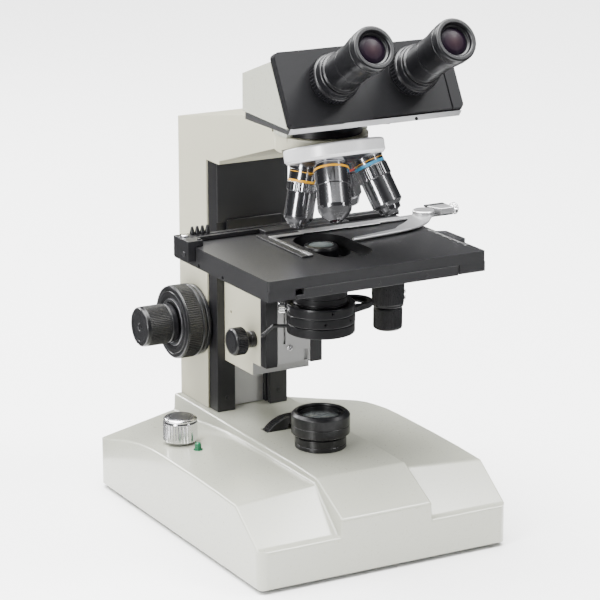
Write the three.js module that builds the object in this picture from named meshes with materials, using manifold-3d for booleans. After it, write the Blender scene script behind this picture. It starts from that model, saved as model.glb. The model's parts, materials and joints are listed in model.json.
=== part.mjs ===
// Binocular laboratory microscope with a mechanical stage.
// Units are millimetres, +Z is up, +X is the user's right and -Y faces the user.
// While the pieces are being shaped, x = 0 is the mid-plane, y = 0 the middle of the base
// and z = 0 the table. At the end the whole assembly is moved sideways so that the origin
// is the centre of its bounding box at table level.
import * as THREE from 'three';
import { mergeVertices } from 'three/addons/utils/BufferGeometryUtils.js';
import Module from 'manifold-3d';

const wasm = await Module();
wasm.setup();

// ---------------------------------------------------------------- driving dimensions
const GAP = 0.3;                 // air between two pieces that touch
const RUNNING = 0.08;            // radial clearance of a turning or sliding fit
const ROUND = 28;                // sides of a large turned piece
const SMALL_ROUND = 14;          // sides of a small turned piece

const BASE_HALF_WIDTH = 105;
const BASE_HALF_LENGTH = 135.3;
const BASE_BOTTOM = 3.2;
const BASE_WALL = 4;
const BASE_CORNER = 8;
const DECK_HALF_WIDTH = 38;
const DECK_TOP = 67;
const FOOT_RADIUS = 9;

const AXIS_Y = -36.5;            // optical axis, x = 0
const LIGHT_Z = 32.6;            // height of the horizontal light path in the base
const COLUMN_BACK = 134;
const COLUMN_FRONT = 86.3;
const COLUMN_HALF_WIDTH = 32;
const ARM_TOP = 312.9;
const NOSE_RADIUS = 34.5;
const NOSE_TOP = 309;
const RAIL_FRONT = 72;
const RAIL_TOP = 267.3;

const FOCUS_Y = 106;             // focus shaft
const FOCUS_Z = 135.5;
const PINION_RADIUS = 6;         // pitch radius of the coarse pinion
const SLEEVE_RADIUS = 5;
const FINE_SHAFT_RADIUS = 3;

const CARRIAGE_HALF_WIDTH = 24.5;
const CARRIAGE_TOP = 210.7;
const STAGE_HALF_WIDTH = 90;
const STAGE_FRONT = -120.9;
const STAGE_BACK = 26.2;
const STAGE_TOP = 226.7;
const LOWER_PLATE_HALF_WIDTH = 67;
const STAGE_SLOT_RADIUS = 20.5;
const STAGE_SLOT_LENGTH = 33.5;  // between the centres of its two round ends
const DRIVE_X = 73.5;             // coaxial stage drive
const DRIVE_Y = -11;

const CONDENSER_KNOB_Y = 24;
const CONDENSER_KNOB_Z = 139;
const CONDENSER_PINION_RADIUS = 5;
const CONDENSER_RING_RADIUS = 25.8;
const CONDENSER_BODY_RADIUS = 20.9;
const SLIDER_OUT = 37;           // filter centre in front of the optical axis when pulled out
const SLIDER_ANGLE = THREE.MathUtils.degToRad(20);
const LEVER_ANGLE = THREE.MathUtils.degToRad(150.7);

const TURRET_TILT = THREE.MathUtils.degToRad(16.9);
const TURRET_APEX_Z = 361;       // the turret axis meets the optical axis here
const TURRET_PHASE = THREE.MathUtils.degToRad(51.5);
const TURRET_RADIUS = 37;
const TURRET_TOP = -60.6;
const TURRET_BOTTOM = -71.6;
const SHOULDER = 80;             // objective shoulder, measured from the apex
const THREAD_TOP = 74;           // where the objective's thread ends
const THREAD_RADIUS = 7.8;

const HEAD_HALF_WIDTH = 71;
const HEAD_TILT = THREE.MathUtils.degToRad(29);
const FACE_BOTTOM_Y = -117.3;    // lower front edge of the head face
const FACE_BOTTOM_Z = 332.6;
const FACE_HEIGHT = 55.3;
const TUBE_HALF_SPACING = 32.6;
const TUBE_HEIGHT = 29.8;        // tube axis above the lower edge, along the face
const HEAD_BACK = -48;
const LOCK_Z = 318.7;            // head lock screw, at the right of the neck
const LOCK_ANGLE = THREE.MathUtils.degToRad(-24);

// ---------------------------------------------------------------- materials
const finish = (color, roughness, metalness) =>
  new THREE.MeshStandardMaterial({ color, roughness, metalness });
const WHITE_PAINT = finish(0xe4e4dc, 0.45, 0.0);
const CREAM_PAINT = finish(0xdddbcd, 0.45, 0.0);
const BLACK_PAINT = finish(0x27272a, 0.5, 0.1);
const STAGE_BLACK = finish(0x3a3b3d, 0.42, 0.3);
const BLACK_PLASTIC = finish(0x1f1f22, 0.55, 0.0);
const CHROME = finish(0xd6d7da, 0.14, 1.0);
const STEEL = finish(0xb9bbbd, 0.3, 1.0);
const ALUMINIUM = finish(0x9fa1a2, 0.38, 0.9);
const RUBBER = finish(0x18181a, 0.9, 0.0);
const GLASS = finish(0xbcd4dc, 0.05, 0.1);
const GREEN_LENS = finish(0x1d8a57, 0.2, 0.0);
const TURRET_WHITE = finish(0xf1f1f0, 0.25, 0.1);

// ---------------------------------------------------------------- solid helpers
// Turns a closed geometry into a solid, dropping the collapsed triangles at a pole.
function solid(geometry) {
  geometry.deleteAttribute('normal');
  geometry.deleteAttribute('uv');
  const merged = mergeVertices(geometry, 1e-4);
  const index = merged.index.array;
  const position = merged.attributes.position.array;
  const triangles = [];
  let volume = 0;
  for (let i = 0; i < index.length; i += 3) {
    const [a, b, c] = [index[i], index[i + 1], index[i + 2]];
    if (a === b || b === c || c === a) continue;
    triangles.push(a, b, c);
    const p = new THREE.Vector3().fromArray(position, 3 * a);
    const q = new THREE.Vector3().fromArray(position, 3 * b);
    const r = new THREE.Vector3().fromArray(position, 3 * c);
    volume += p.dot(q.cross(r));
  }
  if (volume < 0) triangles.reverse();
  return new wasm.Manifold(new wasm.Mesh({
    numProp: 3,
    vertProperties: new Float32Array(position),
    triVerts: new Uint32Array(triangles),
  }));
}

function placed(geometry, at, turn) {
  if (turn) geometry.applyMatrix4(new THREE.Matrix4().makeRotationFromEuler(new THREE.Euler(...turn)));
  if (at) geometry.translate(...at);
  return geometry;
}

// A box given by its limits along each axis.
function block([x0, x1], [y0, y1], [z0, z1], at, turn) {
  const box = new THREE.BoxGeometry(x1 - x0, y1 - y0, z1 - z0);
  box.translate((x0 + x1) / 2, (y0 + y1) / 2, (z0 + z1) / 2);
  return solid(placed(box, at, turn));
}

const TURN_TO = {
  z: [Math.PI / 2, 0, 0],
  x: [0, 0, -Math.PI / 2],
  y: [0, 0, 0],
};

// A turned piece: profile is a list of [radius, height] along the named axis.
function turned(profile, { axis = 'z', at = [0, 0, 0], sides = ROUND } = {}) {
  const points = profile.map(([radius, height]) => new THREE.Vector2(radius, height));
  const lathe = new THREE.LatheGeometry(points, sides);
  return solid(placed(lathe, at, TURN_TO[axis]));
}

function rod(radius, from, to, options) {
  return turned([[0, from], [radius, from], [radius, to], [0, to]], options);
}

function tube(inner, outer, from, to, options) {
  const profile = [[inner, from], [outer, from], [outer, to], [inner, to], [inner, from]];
  return turned(profile, options);
}

// An outline in the y-z plane, stretched along x.
function sidePrism(outline, x0, x1) {
  const shape = new THREE.Shape(outline.map(([y, z]) => new THREE.Vector2(y, z)));
  const prism = new THREE.ExtrudeGeometry(shape, { depth: x1 - x0, bevelEnabled: false });
  prism.applyMatrix4(new THREE.Matrix4().set(0, 0, 1, x0, 1, 0, 0, 0, 0, 1, 0, 0, 0, 0, 0, 1));
  return solid(prism);
}

// An outline in the x-y plane, stretched along z.
function plate(shape, z0, z1, at) {
  const prism = new THREE.ExtrudeGeometry(shape, {
    depth: z1 - z0, bevelEnabled: false, curveSegments: 10,
  });
  prism.translate(0, 0, z0);
  return solid(placed(prism, at));
}

function roundedRectangle(x0, x1, y0, y1, radius) {
  const shape = new THREE.Shape();
  shape.absarc(x1 - radius, y1 - radius, radius, 0, Math.PI / 2);
  shape.absarc(x0 + radius, y1 - radius, radius, Math.PI / 2, Math.PI);
  shape.absarc(x0 + radius, y0 + radius, radius, Math.PI, 1.5 * Math.PI);
  shape.absarc(x1 - radius, y0 + radius, radius, 1.5 * Math.PI, 2 * Math.PI);
  return shape;
}

// Skins a row of equal-sized outlines, each [y, [[x, z], ...]], and closes both ends.
function loft(sections) {
  const count = sections[0][1].length;
  const vertices = sections.flatMap(([y, outline]) => outline.flatMap(([x, z]) => [x, y, z]));
  const faces = [];
  for (let s = 0; s + 1 < sections.length; s += 1) {
    for (let i = 0; i < count; i += 1) {
      const next = (i + 1) % count;
      const [a, b] = [s * count + i, s * count + next];
      faces.push(a, b, a + count, b, b + count, a + count);
    }
  }
  const cap = THREE.ShapeUtils.triangulateShape(
    sections[0][1].map(([x, z]) => new THREE.Vector2(x, z)), []);
  const last = (sections.length - 1) * count;
  const firstIsForward = signedArea(sections[0][1]) > 0;
  for (const [i, j, k] of cap) {
    if (firstIsForward) {
      faces.push(k, j, i, last + i, last + j, last + k);
    } else {
      faces.push(i, j, k, last + k, last + j, last + i);
    }
  }
  const geometry = new THREE.BufferGeometry();
  geometry.setAttribute('position', new THREE.Float32BufferAttribute(vertices, 3));
  geometry.setIndex(faces);
  return solid(geometry);
}

function signedArea(outline) {
  return outline.reduce((sum, [x, z], i) => {
    const [nx, nz] = outline[(i + 1) % outline.length];
    return sum + (x * nz - nx * z) / 2;
  }, 0);
}

// Radius of a bore whose flats stay clear of a shaft of the given radius at any turn.
const boreFor = (radius, sides) => (radius + RUNNING) / Math.cos(Math.PI / sides);
const join = (first, ...others) => others.reduce((sum, other) => sum.add(other), first);
const cut = (first, ...others) => others.reduce((sum, other) => sum.subtract(other), first);

// ---------------------------------------------------------------- assembly helpers
const assembly = new THREE.Group();
assembly.name = 'microscope';

function addPart(name, body, material, parent = assembly) {
  const mesh = body.getMesh();
  const geometry = new THREE.BufferGeometry();
  geometry.setAttribute('position', new THREE.BufferAttribute(new Float32Array(mesh.vertProperties), 3));
  geometry.setIndex(new THREE.BufferAttribute(new Uint32Array(mesh.triVerts), 1));
  geometry.computeVertexNormals();
  const part = new THREE.Mesh(geometry, material);
  part.name = name;
  parent.add(part);
  return part;
}

function addFrame(position, rotation, parent = assembly) {
  const frame = new THREE.Group();
  frame.position.set(...position);
  frame.rotation.set(...rotation);
  parent.add(frame);
  return frame;
}

// ---------------------------------------------------------------- base
// Each station: y, height at the side, height beside the deck, height of the deck.
const BASE_STATIONS = [
  [-BASE_HALF_LENGTH, 32.5, 32.5, 45.8],
  [-130, 33, 33, 48.6],
  [-97, 57, 62, 66],
  [-67, 58.3, 62, DECK_TOP],
  [8, 59, 61.7, DECK_TOP],
  [40, 58.8, 61.2, DECK_TOP],
  [72, 55, 58.5, DECK_TOP],
  [99, 49, 55.5, DECK_TOP],
  [BASE_HALF_LENGTH, 39.5, 53.6, DECK_TOP],
];

function baseShell(inset, bottom) {
  const side = BASE_HALF_WIDTH - inset;
  const deck = DECK_HALF_WIDTH - inset;
  const sections = BASE_STATIONS.map(([y, outer, inner, top]) => {
    const station = Math.sign(y) * Math.min(Math.abs(y), BASE_HALF_LENGTH - inset);
    return [station, [
      [-side, bottom], [-side, outer - inset], [-deck - 0.6, inner - inset], [-deck, top - inset],
      [deck, top - inset], [deck + 0.6, inner - inset], [side, outer - inset], [side, bottom],
    ]];
  });
  return loft(sections);
}

function baseCasting() {
  const outline = roundedRectangle(-BASE_HALF_WIDTH, BASE_HALF_WIDTH,
    -BASE_HALF_LENGTH, BASE_HALF_LENGTH, BASE_CORNER);
  const outside = baseShell(0, BASE_BOTTOM).intersect(plate(outline, 0, 80));
  return cut(outside,
    baseShell(BASE_WALL, BASE_BOTTOM - 1),
    rod(15, 55, 75, { at: [0, AXIS_Y, 0] }),
    rod(29.4, 9.7, 20.7, { axis: 'y', at: [2, 0, 48.5] }),
    rod(3.4, 50, 75, { at: [-79, 42, 0], sides: SMALL_ROUND }),
    rod(2.8, 50, 75, { at: [-76, 18, 0], sides: SMALL_ROUND }),
    block([-31, -4], [125, 140], [16, 36]),
    block([8, 29], [125, 140], [16.8, 33.2]));
}

function basePlate() {
  const inner = BASE_WALL + GAP;
  const outline = roundedRectangle(-BASE_HALF_WIDTH + inner, BASE_HALF_WIDTH - inner,
    -BASE_HALF_LENGTH + inner, BASE_HALF_LENGTH - inner, BASE_CORNER - 2);
  return plate(outline, BASE_BOTTOM + GAP, BASE_BOTTOM + GAP + 2);
}

function foot() {
  return turned([[0, 0], [FOOT_RADIUS - 1, 0], [FOOT_RADIUS, 1], [FOOT_RADIUS, BASE_BOTTOM],
    [0, BASE_BOTTOM]], { sides: SMALL_ROUND });
}

function addBase() {
  addPart('base_casting', baseCasting(), WHITE_PAINT);
  addPart('base_plate', basePlate(), STEEL);
  const corners = { front_left: [-88, -118], front_right: [88, -118], rear_left: [-88, 118],
    rear_right: [88, 118] };
  for (const [corner, [x, y]] of Object.entries(corners)) {
    addPart(`foot_${corner}`, foot(), RUBBER).position.set(x, y, 0);
  }
}

// ---------------------------------------------------------------- lamp and controls in the base
function lampHolder() {
  const floor = BASE_BOTTOM + GAP + 2 + GAP;
  return cut(join(
    block([-20, 20], [24, 112], [floor, floor + 3]),
    block([-20, 20], [24, 28], [floor, 57]),
    block([-14, 14], [94, 112], [floor, 46])),
  rod(boreFor(3, SMALL_ROUND), 22, 30, { axis: 'y', at: [2, 0, 48.5], sides: SMALL_ROUND }),
  rod(9, 22, 30, { axis: 'y', at: [0, 0, LIGHT_Z], sides: SMALL_ROUND }),
  rod(3.4, 90, 103, { axis: 'y', at: [0, 0, LIGHT_Z], sides: SMALL_ROUND }));
}

function lampBulb() {
  return turned([[0, 76], [3, 76.6], [5.6, 79], [6, 83], [4.6, 90], [3, 93], [3, 102], [0, 102]],
    { axis: 'y', at: [0, 0, LIGHT_Z], sides: SMALL_ROUND });
}

function mirrorBlock() {
  const floor = BASE_BOTTOM + GAP + 2 + GAP;
  const reach = LIGHT_Z - floor;
  return sidePrism([[AXIS_Y + reach, floor], [AXIS_Y - 17.4, LIGHT_Z + 17.4],
    [AXIS_Y - 21, LIGHT_Z + 17.4], [AXIS_Y - 21, floor]], -14, 14);
}

function filterWheel() {
  const centre = [2, 0, 48.5];
  let wheel = join(
    turned([[0, 10.4], [27.7, 10.4], [28.5, 11.2], [28.5, 19.2], [27.7, 20], [0, 20]],
      { axis: 'y', at: centre, sides: ROUND }),
    rod(3, 19, 29.5, { axis: 'y', at: centre, sides: SMALL_ROUND }));
  for (let i = 0; i < 4; i += 1) {
    const angle = (i * Math.PI) / 2 - Math.PI / 2 - 0.125;
    const at = [centre[0] + 16 * Math.cos(angle), 0, centre[2] + 16 * Math.sin(angle)];
    wheel = cut(wheel, rod(8, 5, 25, { axis: 'y', at, sides: SMALL_ROUND }));
  }
  return wheel;
}

function fieldCollar() {
  return turned([[14, DECK_TOP + GAP], [19.5, DECK_TOP + GAP], [19.5, 76], [17, 76.4], [17, 92.5],
    [15.8, 92.5], [15.8, 88], [14, 88], [14, DECK_TOP + GAP]], { at: [0, AXIS_Y, 0] });
}

function fieldRing() {
  const bore = boreFor(17, ROUND);
  return turned([[bore, 76.7], [20, 76.7], [22.2, 78.5], [22.2, 93], [19.6, 95], [17.6, 95], [bore, 94],
    [bore, 76.7]], { at: [0, AXIS_Y, 0] });
}

function powerInlet() {
  const pins = [-22, -17.5, -13].map((x) => block([x - 1, x + 1], [117, 131], [24, 28]));
  return join(cut(join(
    block([-30.7, -4.3], [112, 136], [16.3, 35.7]),
    block([-33.5, -1.5], [BASE_HALF_LENGTH + GAP, 137.2], [13.5, 38.5])),
  block([-28.5, -6.5], [118, 140], [19, 33.5])), ...pins);
}

function addControls() {
  addPart('lamp_holder', lampHolder(), ALUMINIUM);
  addPart('lamp_bulb', lampBulb(), GLASS);
  addPart('lamp_mirror', mirrorBlock(), ALUMINIUM);
  addPart('filter_wheel', filterWheel(), BLACK_PLASTIC);
  addPart('field_lens_collar', fieldCollar(), BLACK_PAINT);
  addPart('field_iris_ring', fieldRing(), BLACK_PAINT);
  addPart('field_lens_glass', turned([[0, 88.3], [15.5, 88.3], [15.5, 90], [9, 91.6], [0, 92.2]],
    { at: [0, AXIS_Y, 0] }), GLASS);
  addPart('power_inlet', powerInlet(), BLACK_PLASTIC);
  const rocker = addPart('power_switch', block([-9.9, 9.9], [-5.5, 5.5], [-6.8, 6.8]), BLACK_PLASTIC);
  rocker.position.set(18.5, 131.5, 25);
  rocker.rotation.x = THREE.MathUtils.degToRad(-9);
  const dimmer = join(rod(3, 48, 62, { sides: SMALL_ROUND }),
    turned([[0, 61], [12.6, 61], [13.25, 61.8], [13.25, 78.4], [11.8, 80.4], [0, 80.4]]));
  addPart('brightness_knob', dimmer, CHROME).position.set(-79, 42, 0);
  addPart('power_led', turned([[0, 53], [2.5, 53], [2.5, 64.5], [1.6, 66], [0, 66.4]],
    { sides: SMALL_ROUND }), GREEN_LENS).position.set(-76, 18, 0);
}

// ---------------------------------------------------------------- limb: column, arm and guides
function turretClearance() {
  const clear = new THREE.LatheGeometry(
    [[0, -110], [TURRET_RADIUS + 0.8, -110], [TURRET_RADIUS + 0.8, TURRET_TOP + 0.6],
      [0, TURRET_TOP + 0.6]].map(([r, h]) => new THREE.Vector2(r, h)), ROUND);
  clear.rotateX(Math.PI / 2);
  return solid(placed(clear, [0, AXIS_Y, TURRET_APEX_Z], [-TURRET_TILT, 0, 0]));
}

function limbCasting() {
  const floor = DECK_TOP + GAP;
  const outline = [
    [COLUMN_FRONT, floor], [COLUMN_BACK, floor], [COLUMN_BACK, 293.5], [104.4, 298.7],
    [26.9, ARM_TOP], [AXIS_Y, ARM_TOP], [AXIS_Y, 300.6], [-33.2, 300], [64, 270.5],
    [65, RAIL_TOP + GAP], [COLUMN_FRONT, RAIL_TOP + GAP],
  ];
  return cut(join(
    sidePrism(outline, -COLUMN_HALF_WIDTH, COLUMN_HALF_WIDTH),
    rod(NOSE_RADIUS, 297, ARM_TOP, { at: [0, AXIS_Y, 0] })),
  rod(NOSE_RADIUS + 1.5, NOSE_TOP, 320, { at: [0, AXIS_Y, 0] }),
  rod(12, 280, 320, { at: [0, AXIS_Y, 0], sides: SMALL_ROUND }),
  turretClearance(),
  block([-26, 26], [93, 128], [60, 280]),
  block([-7, 7], [80, 94], [84, 258]),
  rod(boreFor(SLEEVE_RADIUS, SMALL_ROUND), -40, 40,
    { axis: 'x', at: [0, FOCUS_Y, FOCUS_Z], sides: SMALL_ROUND }));
}

function guideRail(side) {
  const [inner, outer] = [15.5, 31];
  const x = side > 0 ? [inner, outer] : [-outer, -inner];
  const groove = side > 0 ? [inner - 1, inner + 2] : [-inner - 2, -inner + 1];
  return cut(block(x, [RAIL_FRONT, COLUMN_FRONT - GAP], [DECK_TOP + GAP, RAIL_TOP]),
    block(groove, [76, 80], [DECK_TOP, RAIL_TOP + 1]));
}

function addLimb() {
  addPart('limb_casting', limbCasting(), CREAM_PAINT);
  addPart('guide_rail_left', guideRail(-1), BLACK_PAINT);
  addPart('guide_rail_right', guideRail(1), BLACK_PAINT);
  addPart('guide_back_plate', cut(
    block([-15.2, 15.2], [82.8, COLUMN_FRONT - GAP], [DECK_TOP + GAP, RAIL_TOP]),
    block([-7, 7], [80, 90], [84, 258])), ALUMINIUM);
  addPart('guide_cover', block([-31, 31], [RAIL_FRONT - 2, RAIL_FRONT - GAP], [220.6, RAIL_TOP]),
    BLACK_PAINT);
  addPart('tension_ring', tube(SLEEVE_RADIUS + 0.4, 28, -COLUMN_HALF_WIDTH - 3.7,
    -COLUMN_HALF_WIDTH - GAP, { axis: 'x', at: [0, FOCUS_Y, FOCUS_Z] }), BLACK_PLASTIC);
}

// ---------------------------------------------------------------- focus knobs
function coarseKnob(bore) {
  return turned([[bore, 36], [27.6, 36], [29, 37.4], [29, 52.6], [27.6, 54], [19, 54], [18, 53],
    [bore, 53], [bore, 36]], { axis: 'x', sides: ROUND });
}

function fineKnob(from) {
  return turned([[0, from], [9, from], [9, 54.4], [14.6, 54.4], [15.8, 55.6], [15.8, 80.6],
    [14.4, 82], [0, 82]], { axis: 'x', sides: ROUND });
}

function addFocus() {
  const right = addFrame([0, FOCUS_Y, FOCUS_Z], [0, 0, 0]);
  const left = addFrame([0, FOCUS_Y, FOCUS_Z], [0, 0, Math.PI]);
  const bore = boreFor(FINE_SHAFT_RADIUS, SMALL_ROUND);
  const sleeve = cut(join(
    tube(bore, SLEEVE_RADIUS, -52, 53, { axis: 'x', sides: SMALL_ROUND }),
    rod(PINION_RADIUS - 0.3, -8, 8, { axis: 'x', sides: SMALL_ROUND }),
    coarseKnob(SLEEVE_RADIUS - 0.5)),
  rod(bore, -60, 60, { axis: 'x', sides: SMALL_ROUND }));
  addPart('coarse_knob_left', sleeve, BLACK_PLASTIC, left);
  const rightKnob = join(coarseKnob(SLEEVE_RADIUS + GAP),
    tube(SLEEVE_RADIUS + GAP, 28, COLUMN_HALF_WIDTH + GAP, 36.5, { axis: 'x', sides: ROUND }));
  addPart('coarse_knob_right', rightKnob, BLACK_PLASTIC, right);
  const shaft = join(fineKnob(53.4), rod(FINE_SHAFT_RADIUS, -78, 55, { axis: 'x', sides: SMALL_ROUND }));
  addPart('fine_knob_left', shaft, BLACK_PLASTIC, left);
  addPart('fine_knob_right', cut(fineKnob(53.4),
    rod(FINE_SHAFT_RADIUS + GAP, 50, 78.4, { axis: 'x', sides: SMALL_ROUND })), BLACK_PLASTIC, right);
}

// ---------------------------------------------------------------- stage carriage and lower plate
function carriage() {
  const half = CARRIAGE_HALF_WIDTH;
  const knob = [0, CONDENSER_KNOB_Y, CONDENSER_KNOB_Z];
  return cut(join(
    block([-half, half], [26, RAIL_FRONT - GAP], [109.5, CARRIAGE_TOP]),
    block([-half, half], [13.5, 27], [119.5, CARRIAGE_TOP]),
    block([-14.8, 14.8], [RAIL_FRONT - 1, 82.2], [125, 205]),
    block([-5, 5], [82, FOCUS_Y - PINION_RADIUS - 0.1], [118, 200])),
  block([-6, 6], [13, 19.4], [119, 206]),
  rod(CONDENSER_PINION_RADIUS + 0.6, -7, 7, { axis: 'x', at: knob, sides: SMALL_ROUND }),
  rod(boreFor(3, SMALL_ROUND), -30, 0, { axis: 'x', at: knob, sides: SMALL_ROUND }));
}

function lowerPlate() {
  const half = LOWER_PLATE_HALF_WIDTH;
  return cut(block([-half, half], [STAGE_FRONT, STAGE_BACK], [211, 218.4]),
    rod(22, 205, 225, { at: [0, AXIS_Y, 0] }),
    block([58.5, 70], [-28, 40], [205, 225]));
}

function condenserGuide(side) {
  const x = side > 0 ? [14.5, CARRIAGE_HALF_WIDTH] : [-CARRIAGE_HALF_WIDTH, -14.5];
  return block(x, [4.5, 13.5 - GAP], [120, CARRIAGE_TOP]);
}

function addStageCarriage() {
  addPart('stage_carriage', carriage(), CREAM_PAINT);
  addPart('stage_lower_plate', lowerPlate(), STAGE_BLACK);
  addPart('condenser_guide_left', condenserGuide(-1), BLACK_PAINT);
  addPart('condenser_guide_right', condenserGuide(1), BLACK_PAINT);
}

// ---------------------------------------------------------------- mechanical stage
function upperPlate() {
  const slot = new THREE.Shape();
  slot.absarc(0, AXIS_Y, STAGE_SLOT_RADIUS, 0, Math.PI);
  slot.absarc(0, AXIS_Y - STAGE_SLOT_LENGTH, STAGE_SLOT_RADIUS, Math.PI, 2 * Math.PI);
  const outline = roundedRectangle(-STAGE_HALF_WIDTH, STAGE_HALF_WIDTH, STAGE_FRONT, STAGE_BACK, 2);
  return cut(join(
    plate(outline, 218.7, STAGE_TOP),
    block([-STAGE_HALF_WIDTH, -LOWER_PLATE_HALF_WIDTH - 1], [STAGE_FRONT + 1, STAGE_BACK - 1],
      [212, 219]),
    block([LOWER_PLATE_HALF_WIDTH + 1, STAGE_HALF_WIDTH], [STAGE_FRONT + 1, -30], [212, 219])),
  plate(slot, 210, 230));
}

function specimenRail() {
  return join(
    block([-96.5, 92], [4, 14], [STAGE_TOP + GAP, 230.4]),
    block([-96.5, -84], [-10, 14], [STAGE_TOP + GAP, 231.6]),
    block([-96.5, -STAGE_HALF_WIDTH - GAP], [-10, 14], [216, 229]));
}

function driveHousing() {
  const at = [DRIVE_X, DRIVE_Y, 0];
  return cut(join(
    block([DRIVE_X - 9.5, 88.5], [-18, 7], [188, 218.4]),
    rod(8.5, 184.9, 190, { at, sides: SMALL_ROUND })),
  rod(5 + GAP, 180, 207, { at, sides: SMALL_ROUND }));
}

function yKnob() {
  const bore = boreFor(3, ROUND);
  return turned([[bore, 160.8], [11.6, 160.8], [12.1, 161.4], [12.8, 183.6], [11.9, 184.5], [5, 184.5],
    [5, 205], [bore, 205], [bore, 160.8]], { at: [DRIVE_X, DRIVE_Y, 0] });
}

function xKnob() {
  return turned([[0, 142.6], [10, 142.6], [11.3, 144], [11.3, 159.6], [10.4, 160.4], [3, 160.4], [3, 206],
    [0, 206]], { at: [DRIVE_X, DRIVE_Y, 0] });
}

function specimenCarrier() {
  const low = STAGE_TOP + GAP;
  return join(
    block([-37.5, 128], [-16, -5], [low, low + 1.2]),
    block([-37.5, -28.5], [-75.5, -15], [low, low + 1.2]),
    block([-30, 42], [-5.5, 4 - GAP], [low, 230.4]),
    block([117, 129], [-16, -4], [low, 233]),
    rod(4.6, 128.5, 135, { axis: 'x', at: [0, -10, 230], sides: SMALL_ROUND }));
}

function springFinger() {
  const shape = new THREE.Shape();
  shape.moveTo(17, -56);
  shape.lineTo(61.6, -50);
  shape.quadraticCurveTo(88, -46, 101, -27);
  shape.quadraticCurveTo(108, -20, 111, -13);
  shape.lineTo(96, -11);
  shape.lineTo(88.4, -15.4);
  shape.quadraticCurveTo(82, -27, 67.2, -35.7);
  shape.lineTo(60, -42.5);
  shape.lineTo(21, -48.5);
  const low = STAGE_TOP + GAP + 1.2 + GAP;
  return join(plate(shape, low, low + 1.5),
    turned([[0, low], [8.4, low], [8.6, low + 3.6], [6.5, low + 5], [0, low + 5.6]],
      { at: [104, -12, 0], sides: SMALL_ROUND }));
}

function addMechanicalStage() {
  addPart('stage_upper_plate', upperPlate(), STAGE_BLACK);
  addPart('specimen_rail', specimenRail(), BLACK_PAINT);
  addPart('stage_drive_housing', driveHousing(), BLACK_PLASTIC);
  addPart('stage_y_knob', yKnob(), BLACK_PLASTIC);
  addPart('stage_x_knob', xKnob(), BLACK_PLASTIC);
  addPart('specimen_carrier', specimenCarrier(), STEEL);
  addPart('spring_finger', springFinger(), STEEL);
}

// ---------------------------------------------------------------- condenser
function sliderSlot() {
  const slot = new THREE.BoxGeometry(50, 30.8, 5.4);
  slot.translate(25 - 17.8, 0, 171.5);
  return solid(placed(slot, [0, AXIS_Y, 0], [0, 0, SLIDER_ANGLE]));
}

function condenserCarrier() {
  const ring = { at: [0, AXIS_Y, 0] };
  return cut(join(
    rod(CONDENSER_RING_RADIUS, 165.3, 180, ring),
    block([-11, 11], [AXIS_Y + 20, 6], [165.3, 180]),
    block([-14.2, 14.2], [4.6, 13.5 - GAP], [122, 180]),
    block([-5.7, 5.7], [13, CONDENSER_KNOB_Y - CONDENSER_PINION_RADIUS - 0.1], [122, 182])),
  rod(CONDENSER_BODY_RADIUS + 0.35, 160, 185, ring),
  clampHole(),
  sliderSlot());
}

function clampHole() {
  const hole = new THREE.CylinderGeometry(2.3, 2.3, 12, SMALL_ROUND);
  hole.rotateZ(-Math.PI / 2);
  hole.translate(25, 0, 175.5);
  return solid(placed(hole, [0, AXIS_Y, 0], [0, 0, LEVER_ANGLE]));
}

function condenserBody() {
  const r = CONDENSER_BODY_RADIUS;
  return cut(turned([[0, 158], [r, 158], [r, 180.6], [18.5, 180.6], [18.5, 191], [17, 193], [14, 202],
    [13, 203], [13, 222.6], [11.8, 224], [0, 224.6]], { at: [0, AXIS_Y, 0] }), sliderSlot());
}

function irisRing() {
  const lever = (from, to, radius) => {
    const curve = new THREE.LineCurve3(new THREE.Vector3(...from), new THREE.Vector3(...to));
    const disc = new THREE.Shape().absarc(0, 0, radius, 0, 2 * Math.PI);
    const bar = new THREE.ExtrudeGeometry(disc, { steps: 1, extrudePath: curve, curveSegments: 6,
      bevelEnabled: false });
    return solid(bar);
  };
  return join(
    tube(CONDENSER_BODY_RADIUS + GAP, 25.6, 157.5, 165),
    lever([24, 0, 161], [35.4, 0, 161], 1.3),
    lever([35, 0, 161.4], [43.4, 0, 153.6], 1.3));
}

function filterSlider() {
  const shape = new THREE.Shape();
  shape.moveTo(20, -15);
  shape.lineTo(SLIDER_OUT, -15);
  shape.absarc(SLIDER_OUT, 0, 15, -Math.PI / 2, Math.PI / 2);
  shape.lineTo(20, 15);
  return cut(plate(shape, 169.2, 173.8),
    rod(11.5, 172.4, 175, { at: [SLIDER_OUT, 0, 0], sides: SMALL_ROUND }));
}

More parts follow.
